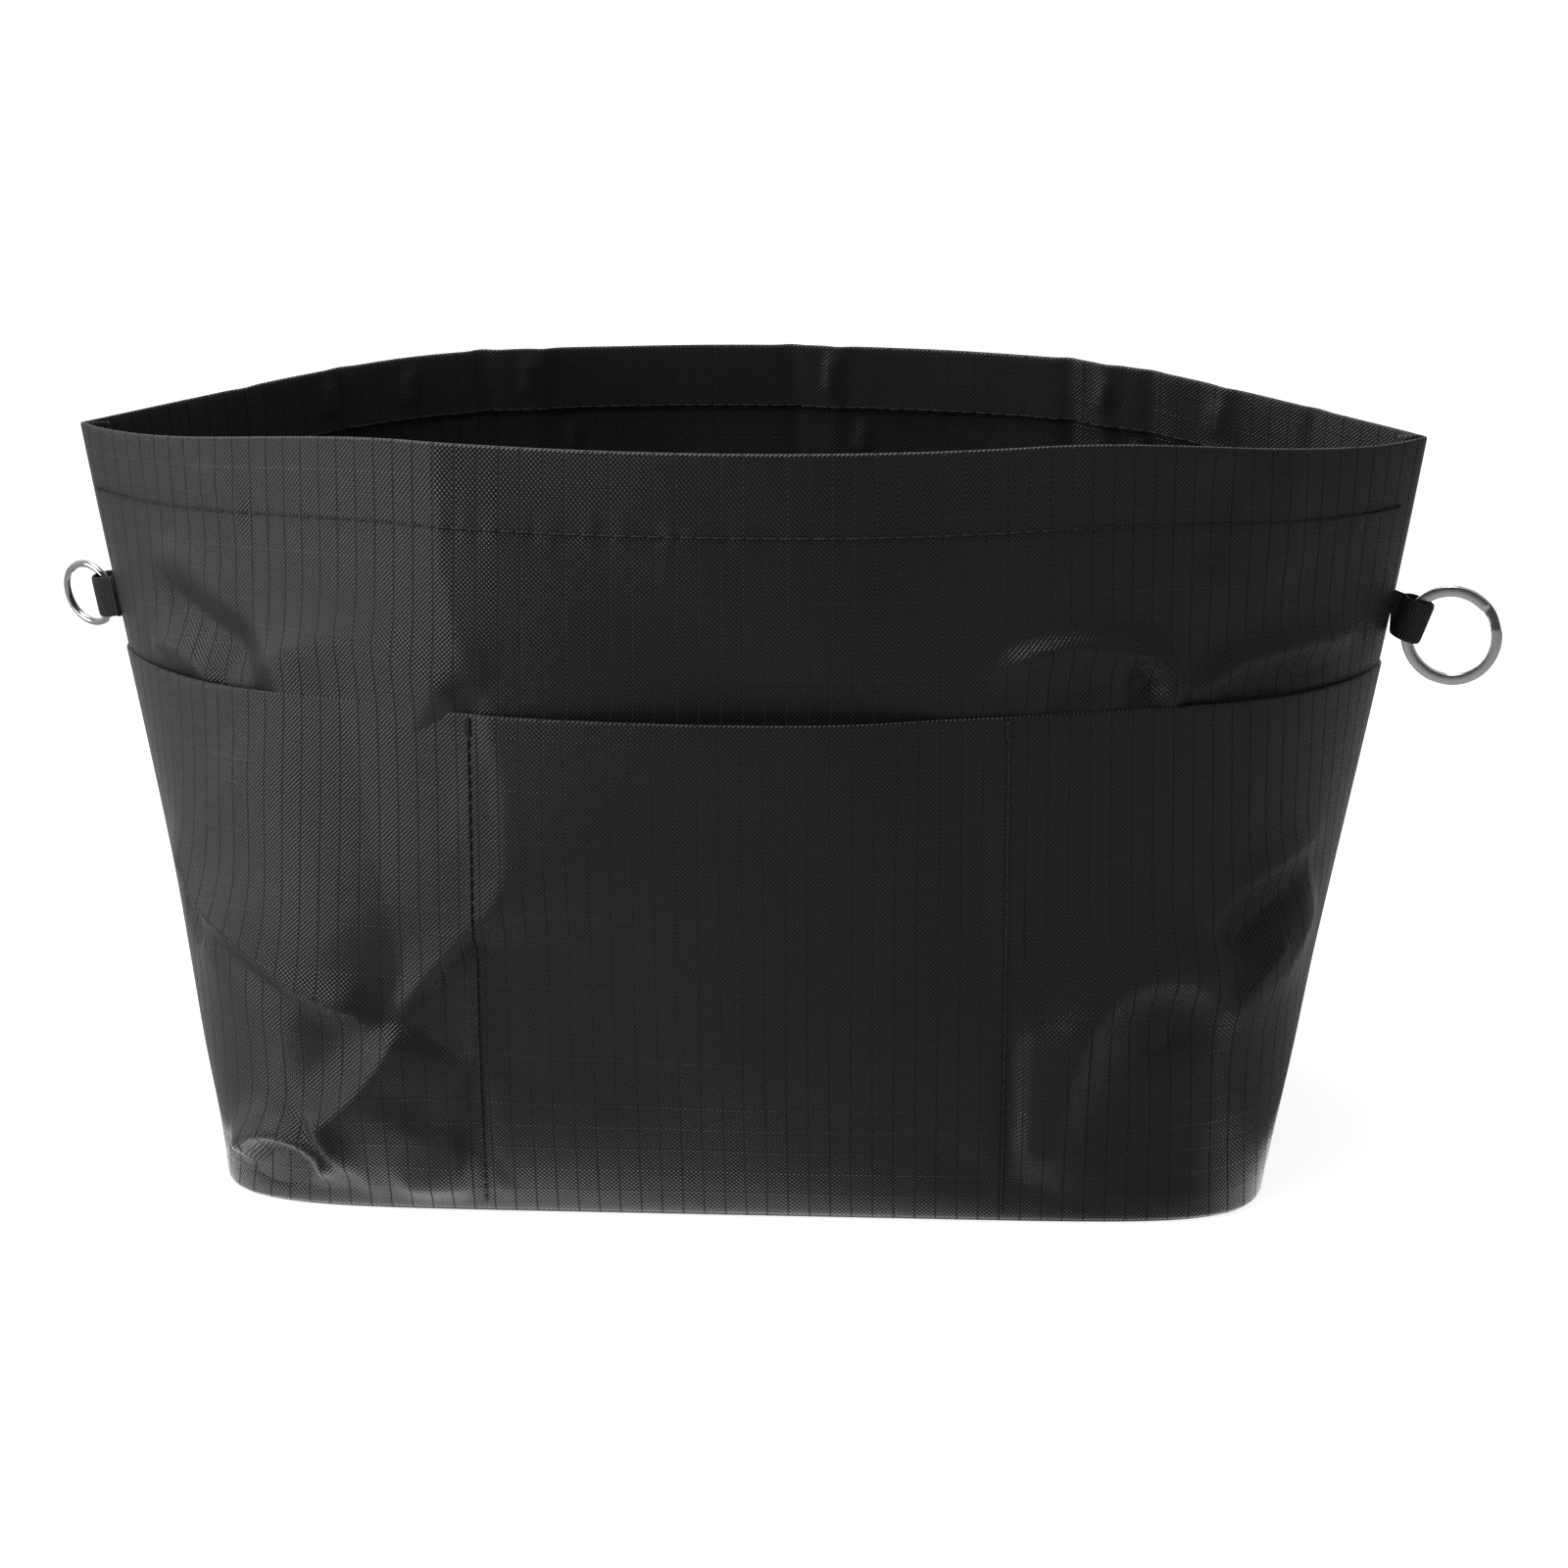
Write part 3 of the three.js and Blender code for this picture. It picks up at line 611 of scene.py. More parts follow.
def baseWaves(x, y):
    # a sine along times a sine across, lifted above 0, that dies out towards the edge
    (halfX, halfY), (lengthX, lengthY) = base["waveHalf"], base["waveLengths"]
    inside = smoothStep((1 - np.maximum(np.abs(x) / halfX, np.abs(y) / halfY)) / base["waveCalm"])
    return base["waveHeight"] * inside * (np.sin(x / lengthX + 1) * np.sin(y / lengthY) + 1)


plateShares = np.concatenate([[0.004], np.linspace(0.05, 1, 40)])


def addPlate(name, outline, height, turnUp, waves, faceDown):
    # rings of the outline's shares from the middle outwards, then the edge turned up
    rings = [(share, height) for share in plateShares]
    rings += [(1 - drop / 100, height + lift) for drop, lift in turnUp]
    points = np.stack([np.insert(outline * share, 2, level, axis=1) for share, level in rings])
    points[..., 2] += waves * baseWaves(points[..., 0], points[..., 1])
    plate = addGrid(name, points, points[..., :2] * mm, flip=faceDown, closeColumns=True)
    return thicken(plate, base["thickness"])


baseCloth = addPlate("baseCloth", roundOutline(base["level"], base["inset"]), 0, base["turnUp"], 1, True)
baseLining = addPlate("baseLiningCloth", roundOutline(base["liningLevel"], base["liningInset"]),
                      base["liningHeight"], base["liningTurnUp"], base["liningWaves"], False)
print("stage: base")


# Side seam bindings: a tape folded over the cut edges, inside

binding = {
    "width": 8, "thickness": 0.35, "half": 0.8, "foot": 6, "underRim": 15.5, "seat": 1.8, "rows": 130,
    "waves": [(0.35, 9, 1), (0.2, 4.3, 0)],  # height, length and start of each
}


def addBinding(side, word):
    # a U of tape: out along one face, round the inner edge and back along the other, with an edge
    # that waves by two sines
    half, reach = binding["half"], binding["width"] - binding["half"]
    foot, top = binding["foot"] / wallHeight, 1 - binding["underRim"] / wallHeight
    levels = np.linspace(foot, top, binding["rows"])
    z = (levels * bag["sideHeight"])[:, None]
    outer = sectionsAt(levels)[0][:, None] - binding["seat"]
    turn = np.linspace(-math.pi / 2, math.pi / 2, 9)
    leg = np.linspace(0, reach, 6)[:-1]
    inward = np.concatenate([leg, reach + half * np.cos(turn), leg[::-1]])
    across = np.concatenate([0 * leg - half, half * np.sin(turn), 0 * leg + half])
    wave = sum(height * np.sin(z / length + side * start) for height, length, start in binding["waves"])
    points = gridOf(side * (outer - inward), across + wave * (inward / binding["width"]) ** 2, z)
    maps = gridOf(runAlong(np.stack([inward, across], axis=1)), z) * mm
    return thicken(addGrid(f"{word}SeamTape", points, maps, flip=side < 0), binding["thickness"])


tapes = {"left": addBinding(-1, "left"), "right": addBinding(1, "right")}
print("stage: seam tapes")


# Stitches: one thread that rises out of the cloth and dips back for each stitch

stitch = {
    "radius": 0.27, "lift": 0.14, "seat": 0.25, "dip": -1.2, "sides": 6, "steps": 7, "wallShare": 0.985,
    # length and pitch of each kind
    "long": (2.4, 3.1), "short": (1.9, 2.5), "tack": (1.0, 1.15),
    "tackHeight": 3.4, "tackHalf": 0.55, "tackSwings": 9, "tackDown": 0.8,
    "dividerFoot": 2.2, "innerFoot": 6, "endDown": 1.2,
}


def threadAlong(line, kind, inward=False):
    # rings round a path, whose height over the cloth is a half wave for each stitch
    points, normals = line
    length, pitch = stitch[kind]
    run = runAlong(points)
    count = max(int(run[-1] // pitch), 1)
    share = np.append(np.linspace(0, length / pitch, stitch["steps"] - 1), (1 + length / pitch) / 2)
    place = (np.arange(count)[:, None] + share).ravel() * pitch
    arch = np.sin(np.linspace(0.12, 0.88, stitch["steps"] - 1) * math.pi) ** 0.5
    rise = np.tile(np.append(arch, stitch["dip"]), count)[:, None]
    at = stationsAt(place, run, points)
    out = unit(stationsAt(place, run, -normals if inward else normals))
    across = np.cross(unit(np.gradient(at, axis=0)), out)
    at = at + out * (stitch["lift"] * rise + stitch["radius"] * stitch["seat"])
    turn = roundTurn(stitch["sides"])[:, None]
    # slimmer where it dips into the cloth
    size = stitch["radius"] * np.clip(0.65 + 0.35 * rise, 0.35, 1)[:, None]
    return capped(at[:, None] + size * (across[:, None] * np.cos(turn) + out[:, None] * np.sin(turn)))


def addThreads(name, lines):
    points, faces, start = [], [], 0
    for line in lines:
        rows, columns = line.shape[:2]
        points.append(line.reshape(-1, 3))
        faces.append(gridFaces(rows, columns, closeColumns=True) + start)
        start += rows * columns
    return weld(addMesh(name, np.concatenate(points), np.concatenate(faces)))


acrossWall = np.linspace(-stitch["wallShare"], stitch["wallShare"], 1400)


def clothLine(face, along, z, heights, offset):
    # a path on a layer, along one height or up one station, with its normals
    along, levels = np.atleast_1d(along), np.atleast_1d(z) / wallHeight
    points = clothLayer(face, along, [(offset, level) for level in levels], heights)
    return points.reshape(-1, 3), normalsAt(face, along, levels).reshape(-1, 3)


def uprightLine(face, place, low, high, heights, offset):
    return clothLine(face, place / quarterGirth, np.linspace(low, high, 500), heights, offset)


def bartack(face, place, z, heights, offset):
    # a short dense zigzag over the end of a divider
    points, normals = uprightLine(face, place, z - stitch["tackHeight"], z, heights, offset)
    across = unit(np.cross(np.gradient(points, axis=0), normals))
    swing = np.sin(np.linspace(0, 2 * math.pi * stitch["tackSwings"], len(points)))[:, None]
    return threadAlong((points + across * swing * stitch["tackHalf"], normals), "tack")


threads = {}
for face, word in sides.items():
    heights = clothHeights["Panel", face]
    hem = [threadAlong(clothLine(face, acrossWall, hemLine, heights, offset), "long", inward)
           for offset, inward in ((0, False), (-2 * panel["hemRadius"] - panel["thickness"], True))]
    threads[f"{word}_hem_thread"] = addThreads(f"{word}HemStitches", hem)
    heights, stand, top = clothHeights["OuterPocket", face], outerPocket["stand"], outerPocket["top"]
    for hand, place in zip(("left", "right"), outerPocket["dividers"][face]):
        line = uprightLine(face, place, stitch["dividerFoot"], top - stitch["endDown"], heights, stand)
        tack = bartack(face, place, top - stitch["tackDown"], heights, stand)
        threads[f"{word}_{hand}_divider_thread"] = addThreads(
            f"{word}{hand.capitalize()}DividerStitches", [threadAlong(line, "short"), tack])
    line = uprightLine(face, 0, stitch["innerFoot"], innerPocket["top"] - stitch["endDown"],
                       clothHeights["InnerPocket", face], innerPocket["stand"])
    threads[f"{word}_inner_divider_thread"] = addThreads(
        f"{word}InnerDividerStitches", [threadAlong(line, "long", True)])
print("stage: stitches")


# Tabs and rings, in the frames that the hinges give

fittings = {
    "left": {
        "hinge": (-128.943, 0, 110.855), "axis": (-0.1609, 0, 0.987), "bend": -58, "turn": 26,
        "ringRadius": 6.25, "wire": 0.75, "loop": 2.14, "tail": 1.1, "slant": 0,
    },
    "right": {
        "hinge": (129.663, 0, 110.738), "axis": (-0.3298, 0, -0.944), "bend": 10, "turn": 5,
        "ringRadius": 8.95, "band": 2.1, "wire": 0.85, "gap": 0.1, "jog": 30, "start": -30,
        "loop": 2.6, "tail": 1.4, "slant": 0.85, "bandEdge": 0.3, "faceEdge": 0.45,
        "taperRun": 0.04, "taperEnd": 0.7,
    },
    "tabWidth": 8.4, "webbing": 0.6, "tabEdge": 0.22, "neck": 2.9, "nose": 0.3, "fray": 0.006,
    "ribPitch": 0.62, "ribHeight": 0.05, "warpPitch": 0.42,
}


def seamFrame(fitting):
    # outward, to the front and along the hinge, as columns
    along = np.array(fitting["axis"])
    front = np.array([0, -1, 0])
    return np.stack([np.cross(front, along), front, along], axis=1)


def turned(basis, degrees):
    a = math.radians(degrees)
    cosine, sine = math.cos(a), math.sin(a)
    return basis @ np.array([[cosine, -sine, 0], [sine, cosine, 0], [0, 0, 1]])


def tabPath(fitting):
    # out from the seam, round the ring's wire and back: two straight legs tangent to a circle
    radius = fitting["loop"] + fittings["webbing"] / 2
    nose, neck = fittings["nose"], fittings["neck"]
    tangent = math.acos((radius - nose) / neck)
    around = np.linspace(-math.pi + tangent, math.pi - tangent, 60)
    circle = np.stack([neck + radius * np.cos(around), radius * np.sin(around)], axis=1)
    foot = nose * np.array([math.cos(math.pi - tangent), math.sin(math.pi - tangent)])
    leg = foot + (circle[-1] - foot) * np.linspace(0, 1, 14)[:-1, None]
    tail = foot + np.array([-1, 0]) * fitting["tail"] * np.linspace(1, 0, 6)[:-1, None]
    upper = np.concatenate([tail, leg])
    return np.concatenate([upper * [1, -1], circle, upper[::-1]])


def addTab(word, fitting):
    # along the tab's path, a flat strip's section with round edges, and ribs across it by a cosine
    path = tabPath(fitting)
    run = runAlong(path)
    even = np.linspace(0, run[-1], 220)
    path = stationsAt(even, run, path)
    ahead = unit(np.gradient(path, axis=0))
    turn = roundTurn(28)
    across = fittings["tabWidth"] / 2 * squared(np.cos(turn), fittings["tabEdge"])
    ribs = np.cos(2 * math.pi * even / fittings["ribPitch"])[:, None]
    thick = np.sin(turn) * (fittings["webbing"] / 2 + fittings["ribHeight"] * ribs)
    # the sewn tail is cut along the seam, so it is longer at the end that stands off the seam
    slanted = path[:, :1] * (1 - fitting["slant"] * across / (fittings["tabWidth"] / 2))
    along = np.where(path[:, :1] < 0, slanted, path[:, :1])
    points = gridOf(along + ahead[:, 1:] * thick, path[:, 1:] - ahead[:, :1] * thick,
                    across * (1 + fittings["fray"] * ribs))
    basis = turned(seamFrame(fitting), fitting["bend"])
    placed = capped(points) @ basis.T + np.array(fitting["hinge"])
    maps = gridOf(across, np.concatenate([even[:1], even, even[-1:]])[:, None]) * mm
    return weld(addGrid(f"{word}WebbingTab", placed, maps, closeColumns=True))


def ringFrame(fitting):
    # the ring's plane holds the seam's line; its middle is out beyond the loop's
    basis = turned(seamFrame(fitting), fitting["bend"])
    pivot = np.array(fitting["hinge"]) + basis @ np.array([fittings["neck"], 0, 0])
    basis = turned(basis, fitting["turn"])
    radius = fitting["ringRadius"]
    sagitta = radius - math.sqrt(radius ** 2 - (fittings["tabWidth"] / 2) ** 2)
    return basis, pivot + basis @ np.array([radius - sagitta / 2, 0, 0])


def addORing(fitting):
    # a torus: one circle of wire carried round another
    basis, centre = ringFrame(fitting)
    around, section = roundTurn(128)[:, None], roundTurn(20)
    reach = fitting["ringRadius"] + fitting["wire"] * np.cos(section)
    points = gridOf(reach * np.cos(around), fitting["wire"] * np.sin(section), reach * np.sin(around))
    maps = gridOf(around * fitting["ringRadius"], section) * mm
    return weld(addGrid("leftORing", points @ basis.T + centre, maps, closeRows=True, closeColumns=True))


def addSplitRing(fitting):
    # two turns of flat wire; near the middle of its run it steps from one turn over to the other
    basis, centre = ringFrame(fitting)
    jog, start = math.radians(fitting["jog"]), math.radians(fitting["start"])
    end = 4 * math.pi - jog
    run = np.linspace(0, end, 420)[:, None]
    rise = fitting["wire"] + fitting["gap"]
    climb = rise * smoothStep((run - 2 * math.pi + jog) / jog) - rise / 2
    section = roundTurn(20)
    across = fitting["band"] / 2 * squared(np.cos(section), fitting["bandEdge"])
    thick = fitting["wire"] / 2 * squared(np.sin(section), fitting["faceEdge"])
    taper = np.clip(np.minimum(run, end - run) / fitting["taperRun"], fitting["taperEnd"], 1)
    reach = fitting["ringRadius"] + across * taper
    place = run + start
    points = gridOf(reach * np.cos(place), climb + thick * taper, reach * np.sin(place))
    maps = gridOf(np.concatenate([run[:1], run, run[-1:]]) * fitting["ringRadius"], across) * mm
    return weld(addGrid("rightSplitRing", capped(points) @ basis.T + centre, maps, closeColumns=True))


tabs = {word: addTab(word, fittings[word]) for word in ("left", "right")}
oRing = addORing(fittings["left"])
splitRing = addSplitRing(fittings["right"])
print("stage: tabs and rings")


# Shader nodes

def feed(tree, node, inputs):
    # an input takes a value, or a link from another node's output
    for label, value in inputs.items():
        if isinstance(value, bpy.types.NodeSocket):
            tree.links.new(value, node.inputs[label])
        else:
            node.inputs[label].default_value = value


def addNode(tree, kind, inputs=(), **settings):
    node = tree.nodes.new(f"ShaderNode{kind}")
    for label, value in settings.items():
        setattr(node, label, value)
    feed(tree, node, dict(inputs))
    return node


def addMath(tree, kind, *values, clamp=False):
    return addNode(tree, "Math", dict(enumerate(values)), operation=kind, use_clamp=clamp).outputs[0]


def addNoise(tree, vector, scale, detail=2):
    return addNode(tree, "TexNoise", {"Vector": vector, "Scale": scale, "Detail": detail}).outputs[0]


def addBump(tree, shader, inputs):
    feed(tree, shader, {"Normal": addNode(tree, "Bump", inputs).outputs[0]})


def twoTone(tree, factor, *stops):
    # a ramp between two stops, each a place and a colour
    node = addNode(tree, "ValToRGB", {0: factor})
    for element, (place, colour) in zip(node.color_ramp.elements, stops):
        element.position = place
        element.color = (*colour, 1)
    return node.outputs[0]


def clothSource(tree):
    return addNode(tree, "UVMap", uv_map="clothMap").outputs[0]


def newMaterial(name, values):
    material = bpy.data.materials.new(name)
    material.use_nodes = True
    tree = material.node_tree
    shader = tree.nodes["Principled BSDF"]
    feed(tree, shader, values)
    return material, tree, shader


def tinted(colour, share):
    return tuple(part * share for part in colour)


# Cloth: the ripstop weave as a group, with its pitches and widths in millimetres

cloth = {
    "colour": (0.007, 0.007, 0.0074), "lineColour": (0.0022, 0.0022, 0.0025),
    "dotColour": (0.012, 0.012, 0.013), "lineShare": 0.8, "dotShare": 0.7, "basketShare": 0.8,
    # the last is the factor by which the inward side's colour is painted lighter: painted light for the dim
    # inside of the bag
    "darkest": 0.8, "lightest": 1.25, "insidePaintedLight": 3,
    "thread": 0.88, "linePitch": 4.15, "rowPitch": 5.0, "lineWidth": 0.27, "rowWidth": 0.26,
    "lineDepth": 0.3, "rowHeight": 0.4, "wander": 0.14, "wanderScale": 55, "fadeScale": 26,
    "roughSpread": 0.1, "roughThreads": 0.12, "roughLines": 0.6, "bumpDistance": 0.00012,
    "sheen": 0.04, "sheenRoughness": 0.5, "slope": 0.42,
    # roughness, specular and relief
    "ripstop": (0.31, 0.36, 0.6), "lining": (0.5, 0.3, 0.4),
}
weaveSockets = {
    "INPUT": {"Vector": "Vector", "Thread": "Float", "Line Pitch": "Float", "Row Pitch": "Float"},
    "OUTPUT": {"Height": "Float", "Lines": "Float", "Dots": "Float", "Fade": "Float", "Basket": "Float",
               "Slopes": "Color"},
}


def stripes(tree, value, pitch, width):
    # 1 on a line every pitch, and 0 beyond its width: 1 - distance / width
    share = addMath(tree, "FRACT", addMath(tree, "DIVIDE", value, pitch))
    away = addMath(tree, "MULTIPLY", addMath(tree, "ABSOLUTE", addMath(tree, "SUBTRACT", share, 0.5)), pitch)
    return addMath(tree, "SUBTRACT", 1, addMath(tree, "DIVIDE", away, width), clamp=True)


def buildWeave():
    group = bpy.data.node_groups.new("ripstopWeave", "ShaderNodeTree")
    for way, sockets in weaveSockets.items():
        for label, kind in sockets.items():
            group.interface.new_socket(label, in_out=way, socket_type=f"NodeSocket{kind}")
    given, result = group.nodes.new("NodeGroupInput").outputs, group.nodes.new("NodeGroupOutput")
    maths = partial(addMath, group)
    # the map is in metres, and the weave in millimetres; a slow noise keeps the lines from being ruled
    noise = addNoise(group, given["Vector"], cloth["wanderScale"], 1)
    wander = maths("MULTIPLY", maths("SUBTRACT", noise, 0.5), cloth["wander"])
    split = addNode(group, "SeparateXYZ", {0: given["Vector"]}).outputs
    u, v = [maths("ADD", maths("MULTIPLY", split[k], 1000), wander) for k in (0, 1)]
    turnU, turnV = [maths("DIVIDE", maths("MULTIPLY", part, 2 * math.pi), given["Thread"]) for part in (u, v)]
    waveU, waveV = maths("SINE", turnU), maths("SINE", turnV)
    lines = stripes(group, u, given["Line Pitch"], cloth["lineWidth"])
    rows = stripes(group, v, given["Row Pitch"], cloth["rowWidth"])
    beat = maths("MULTIPLY_ADD", waveU, 0.5, 0.5)
    # a normal map's colour from the exact slopes of the basket, which a bump would blur at a distance
    slopes = [maths("MULTIPLY_ADD", maths("MULTIPLY", maths("COSINE", turn), wave), -0.5, 0.5)
              for turn, wave in ((turnU, waveV), (turnV, waveU))]
    feed(group, result, {
        "Height": maths("SUBTRACT", maths("MULTIPLY", rows, cloth["rowHeight"]),
                        maths("MULTIPLY", lines, cloth["lineDepth"])),
        "Lines": lines, "Dots": maths("MULTIPLY", rows, beat), "Basket": maths("MULTIPLY", waveU, waveV),
        "Fade": addNoise(group, given["Vector"], cloth["fadeScale"], 3),
        "Slopes": addNode(group, "CombineXYZ", {0: slopes[0], 1: slopes[1], 2: 1}).outputs[0],
    })
    return group


weaveGroup = buildWeave()


def clothMaterial(name, roughness, specular, relief):
    material, tree, shader = newMaterial(name, {
        "Specular IOR Level": specular, "Sheen Weight": cloth["sheen"],
        "Sheen Roughness": cloth["sheenRoughness"]})
    maths = partial(addMath, tree)
    weave = addNode(tree, "Group", {
        "Vector": clothSource(tree), "Thread": cloth["thread"], "Line Pitch": cloth["linePitch"],
        "Row Pitch": cloth["rowPitch"]}, node_tree=weaveGroup).outputs
    plain = twoTone(tree, weave["Fade"], (0.25, tinted(cloth["colour"], cloth["darkest"])),
                    (0.75, tinted(cloth["colour"], cloth["lightest"])))
    bright = maths("MULTIPLY_ADD", weave["Basket"], cloth["basketShare"], 1)
    # the side that faces into the bag has its colour painted lighter, as painted light on the dim inside of
    # the bag
    place = addNode(tree, "TexCoord").outputs
    facing = addNode(tree, "VectorMath", {0: place["Object"], 1: place["Normal"]}, operation="DOT_PRODUCT")
    inner = maths("LESS_THAN", facing.outputs["Value"], 0)
    bright = maths("MULTIPLY", bright, maths("MULTIPLY_ADD", inner, cloth["insidePaintedLight"] - 1, 1))
    colour = addNode(tree, "VectorMath", {0: plain, "Scale": bright}, operation="SCALE").outputs[0]
    rough = maths("MULTIPLY_ADD", maths("SUBTRACT", weave["Fade"], 0.5), cloth["roughSpread"], roughness)
    for part, share in (("Lines", cloth["roughLines"]), ("Dots", -cloth["roughThreads"]),
                        ("Basket", -cloth["roughThreads"])):
        rough = maths("MULTIPLY_ADD", weave[part], share, rough)
    for part, tone, share in (("Lines", cloth["lineColour"], cloth["lineShare"]),
                              ("Dots", cloth["dotColour"], cloth["dotShare"])):
        mix = addNode(tree, "Mix", data_type="RGBA")
        feed(tree, mix, {0: maths("MULTIPLY", weave[part], share), 6: colour, 7: (*tone, 1)})
        colour = mix.outputs[2]
    slopes = addNode(tree, "NormalMap", {"Strength": cloth["slope"], "Color": weave["Slopes"]},
                     space="TANGENT", uv_map="clothMap").outputs[0]
    addBump(tree, shader, {"Height": weave["Height"], "Strength": relief, "Distance": cloth["bumpDistance"],
                           "Normal": slopes})
    feed(tree, shader, {"Base Color": colour, "Roughness": rough})
    return material


ripstop = clothMaterial("blackRipstop", *cloth["ripstop"])
liningFinish = clothMaterial("blackLining", *cloth["lining"])


# Thread, webbing, steel and board. The spread is of the roughness, and relief is strength and distance

webbing = {
    "values": {"Roughness": 0.55, "Specular IOR Level": 0.35}, "relief": 0.7, "reliefDistance": 0.00012,
    # the valley's colour is painted shade and the rib's is a painted highlight, each a place and a colour on
    # the ramp
    "valley": (0.1, (0.003, 0.003, 0.003)), "rib": (0.8, (0.02, 0.02, 0.021)),
}
grains = {
    "thread": {
        "name": "blackThread", "dark": (0.003, 0.003, 0.003), "light": (0.012, 0.012, 0.012),
        "scale": 2600, "values": {"Roughness": 0.6, "Specular IOR Level": 0.35},
    },
    "polished": {
        "name": "polishedSteel", "dark": (0.368, 0.368, 0.3772), "light": (0.4, 0.4, 0.41), "scale": 900,
        "values": {"Roughness": 0.13, "Metallic": 1}, "detail": 3, "relief": (0.08, 0.00005), "spread": 0.05,
    },
    "satin": {
        "name": "satinSteel", "dark": (0.6072, 0.6072, 0.6164), "light": (0.66, 0.66, 0.67), "scale": 1400,
        "values": {"Roughness": 0.2, "Metallic": 1}, "detail": 3, "relief": (0.08, 0.00005), "spread": 0.1,
    },
    "board": {
        "name": "greyBoard", "dark": (0.02, 0.02, 0.02), "light": (0.035, 0.035, 0.035), "scale": 900,
        "values": {"Roughness": 0.6}, "relief": (0.2, 0.0001),
    },
}


def webbingMaterial():
    # ribs across the tab by a cosine, with the warp's sine on them; the colour runs from painted shade in the
    # valleys to a painted highlight on the rib tops
    material, tree, shader = newMaterial("blackWebbing", webbing["values"])
    maths = partial(addMath, tree)
    split = addNode(tree, "SeparateXYZ", {0: clothSource(tree)}).outputs
    along = maths("MULTIPLY", split[1], 2000 * math.pi / fittings["ribPitch"])
    across = maths("MULTIPLY", split[0], 2000 * math.pi / fittings["warpPitch"])
    ribs = maths("MULTIPLY_ADD", maths("COSINE", along), 0.5, 0.5)
    feed(tree, shader, {"Base Color": twoTone(tree, ribs, webbing["valley"], webbing["rib"])})
    addBump(tree, shader, {"Height": maths("MULTIPLY", maths("SINE", across), ribs),
                           "Strength": webbing["relief"], "Distance": webbing["reliefDistance"]})
    return material


def grainMaterial(name, dark, light, scale, values, detail=2, relief=None, spread=0):
    # a fine noise runs between two colours, and gives the relief and the spread of the roughness
    material, tree, shader = newMaterial(name, values)
    noise = addNoise(tree, addNode(tree, "TexCoord").outputs["Object"], scale, detail)
    feed(tree, shader, {"Base Color": twoTone(tree, noise, (0.3, dark), (0.7, light))})
    if spread:
        low = values["Roughness"] - spread / 2
        feed(tree, shader, {"Roughness": addMath(tree, "MULTIPLY_ADD", noise, spread, low)})
    if relief:
        addBump(tree, shader, {"Height": noise, "Strength": relief[0], "Distance": relief[1]})
    return material


finishes = {word: grainMaterial(**values) for word, values in grains.items()}
finishes["webbing"] = webbingMaterial()


def dress(piece, material):
    piece.data.materials.clear()
    piece.data.materials.append(material)


def finish(piece, material, body, node):
    dress(piece, material)
    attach(piece, body)
    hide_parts(node)


layerNodes = {"Panel": "panel", "OuterPocket": "outer_pocket", "InnerPocket": "inner_pocket"}
for word in sides.values():
    for layer, node in layerNodes.items():
        piece = clothPieces[f"{word}{layer}"]
        finish(piece, ripstop, "bag", f"{word}_{node}")
for node, piece in threads.items():
    finish(piece, finishes["thread"], "bag", node)
finish(baseCloth, ripstop, "bag", "base_panel")
finish(baseLining, liningFinish, "bag", "base_lining")
for word, tape in tapes.items():
    finish(tape, liningFinish, "bag", f"{word}_seam_binding")
for word, tab in tabs.items():
    finish(tab, finishes["webbing"], f"{word}_tab", f"{word}_tab")
finish(oRing, finishes["polished"], "left_ring", "left_o_ring")
finish(splitRing, finishes["satin"], "right_ring", "right_split_ring")
dress(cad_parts["base_board"], finishes["board"])
print("stage: materials")


# Floor, light and camera

studio = {
    "distance": 800, "azimuth": 3.05, "elevation": 19.49, "roll": -0.14, "target": (6.96, 0, 72.63),
    "lens": 90, "worldLight": 0.4, "worldFront": 0.06, "backdropFrom": 0.1, "backdropSoft": 0.8,
    "backdropTurn": 30, "floorHalf": 3, "floorDrop": 0.0004, "floorColour": (0.4, 0.4, 0.4, 1),
    "floorGlow": 0.85, "nearGlow": 3.2, "sweepEnd": 0.0575, "sweepSoft": 0.005, "sweepSide": 0.118,
    "sweepTurn": 0.06, "white": (1, 1, 1, 1),
}
# place, aim, size and power of each
lamps = {
    "leftSoftBox": ((-0.86, -0.42, 0.25), (0, 0, 0.08), (0.4, 0.7), 6.4),
    "rightSoftBox": ((0.85, -0.45, 0.3), (0, 0, 0.08), (0.35, 0.7), 0.6),
    "topSoftBox": ((-0.25, 0.0, 1.0), (0, 0, 0.1), (0.9, 0.5), 9),
}


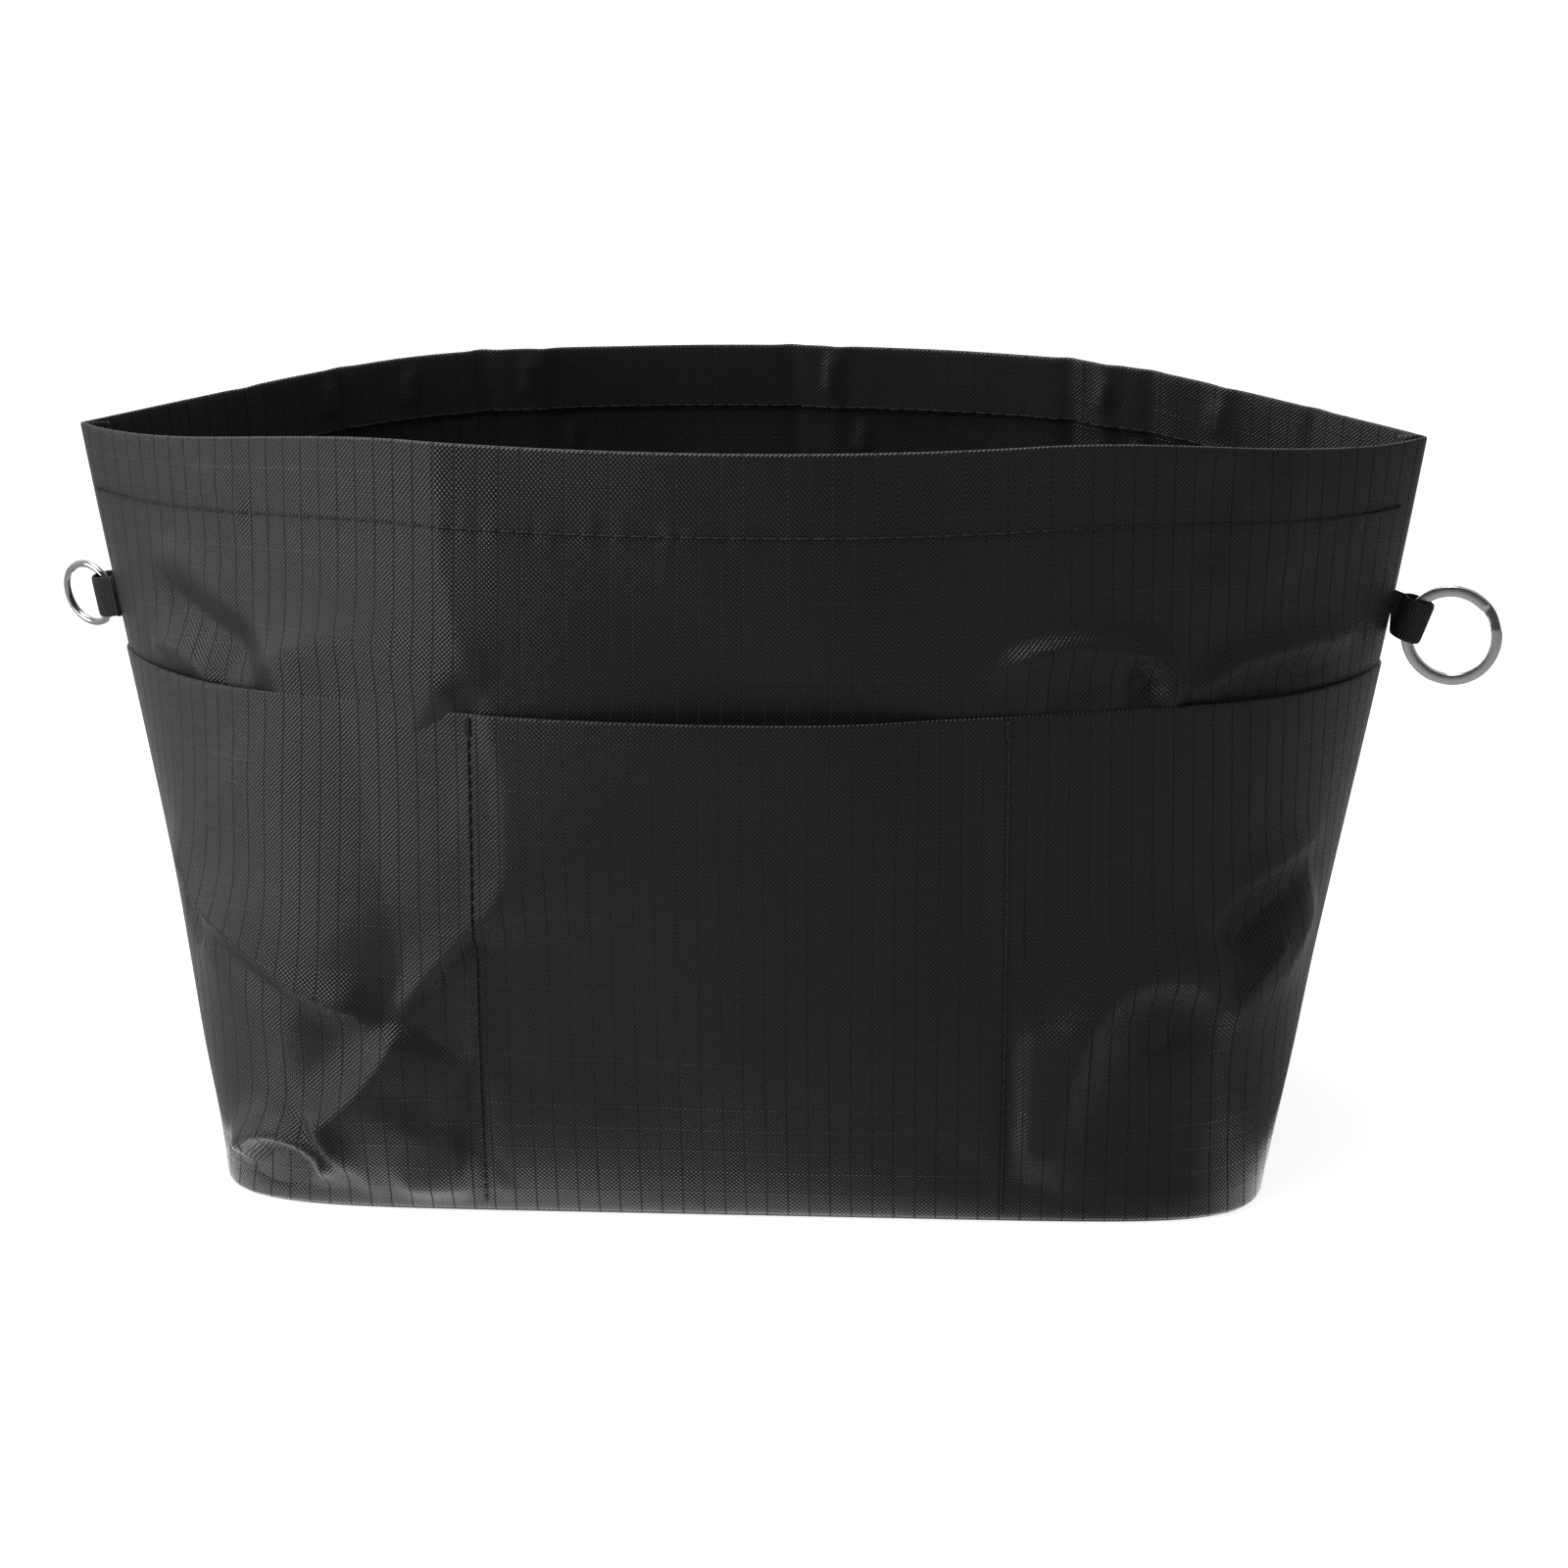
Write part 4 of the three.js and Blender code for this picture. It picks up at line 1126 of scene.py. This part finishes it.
def addFloor():
    mesh = bpy.data.meshes.new("studioFloor")
    mesh.from_pydata([(x * studio["floorHalf"], y * studio["floorHalf"], -studio["floorDrop"])
                      for x, y in ((-1, -1), (1, -1), (1, 1), (-1, 1))], [], [(0, 1, 2, 3)])
    floor = addObject("studioFloor", mesh)
    material, tree, shader = newMaterial("paleFloor", {
        "Base Color": studio["floorColour"], "Roughness": 0.9, "Specular IOR Level": 0.1})
    maths = partial(addMath, tree)
    rays = addNode(tree, "LightPath").outputs
    # the lit part of the floor ends a little in front of the object, as a studio sweep does
    split = addNode(tree, "SeparateXYZ", {0: addNode(tree, "TexCoord").outputs["Object"]}).outputs
    depth = maths("SUBTRACT", split[1], maths("MULTIPLY", split[0], studio["sweepTurn"]))
    near = maths("DIVIDE", maths("ADD", depth, studio["sweepEnd"]), studio["sweepSoft"], clamp=True)
    beside = maths("SUBTRACT", studio["sweepSide"], maths("ABSOLUTE", split[0]))
    near = maths("MULTIPLY", near, maths("DIVIDE", beside, studio["sweepSoft"], clamp=True))
    glossy = maths("MULTIPLY", rays["Is Glossy Ray"], maths("MULTIPLY", near, studio["nearGlow"]))
    seen = maths("MAXIMUM", maths("MAXIMUM", rays["Is Camera Ray"], glossy), rays["Is Transmission Ray"])
    glow = addNode(tree, "Emission", {0: studio["white"], 1: maths("MULTIPLY", seen, studio["floorGlow"])})
    total = addNode(tree, "AddShader", {0: shader.outputs[0], 1: glow.outputs[0]})
    feed(tree, tree.nodes["Material Output"], {0: total.outputs[0]})
    mesh.materials.append(material)


def addWorld():
    world = bpy.data.worlds.new("studioWorld")
    bpy.context.scene.world = world
    world.use_nodes = True
    tree = world.node_tree
    maths = partial(addMath, tree)
    ground = tree.nodes["Background"]
    feed(tree, ground, {0: studio["white"], 1: studio["worldLight"]})
    rays = addNode(tree, "LightPath").outputs
    seen = maths("MAXIMUM", maths("MAXIMUM", rays["Is Camera Ray"], rays["Is Glossy Ray"]),
                 rays["Is Transmission Ray"])
    # reflections find the white backdrop behind and beside the object, and a darker room in front
    split = addNode(tree, "SeparateXYZ", {0: addNode(tree, "TexCoord").outputs["Generated"]}).outputs
    turn = math.radians(studio["backdropTurn"])
    depth = maths("SUBTRACT", maths("MULTIPLY", split[1], math.cos(turn)),
                  maths("MULTIPLY", split[0], math.sin(turn)))
    back = maths("DIVIDE", maths("ADD", depth, studio["backdropFrom"]), studio["backdropSoft"], clamp=True)
    back = maths("MULTIPLY_ADD", back, 1 - studio["worldFront"], studio["worldFront"])
    glossy = maths("MULTIPLY", maths("SUBTRACT", 1, back), rays["Is Glossy Ray"])
    backdrop = addNode(tree, "Background", {0: studio["white"], 1: maths("SUBTRACT", 1, glossy)})
    mix = addNode(tree, "MixShader", {0: seen, 1: ground.outputs[0], 2: backdrop.outputs[0]})
    feed(tree, tree.nodes["World Output"], {0: mix.outputs[0]})


def addLamp(name, place, aim, size, power):
    light = bpy.data.lights.new(name, "AREA")
    light.shape = "RECTANGLE"
    light.size, light.size_y = size
    light.energy = power
    lamp = addObject(name, light)
    lamp.location = place
    lamp.rotation_euler = (Vector(aim) - Vector(place)).to_track_quat("-Z", "Y").to_euler()


def addCamera():
    data = bpy.data.cameras.new("photoCamera")
    data.sensor_width = 36
    data.lens = studio["lens"]
    data.clip_start, data.clip_end = 0.01, 20
    camera = addObject("photoCamera", data)
    a, e = math.radians(studio["azimuth"]), math.radians(studio["elevation"])
    back = Vector((math.sin(a) * math.cos(e), -math.cos(a) * math.cos(e), math.sin(e)))
    camera.location = (Vector(studio["target"]) + back * studio["distance"]) * mm
    look = (-back).to_track_quat("-Z", "Y")
    camera.rotation_mode = "QUATERNION"
    camera.rotation_quaternion = look @ Quaternion((0, 0, 1), math.radians(studio["roll"]))
    bpy.context.scene.camera = camera


addFloor()
addWorld()
for name, values in lamps.items():
    addLamp(name, *values)
addCamera()
bpy.context.scene.view_settings.view_transform = "Standard"
print("stage: studio")
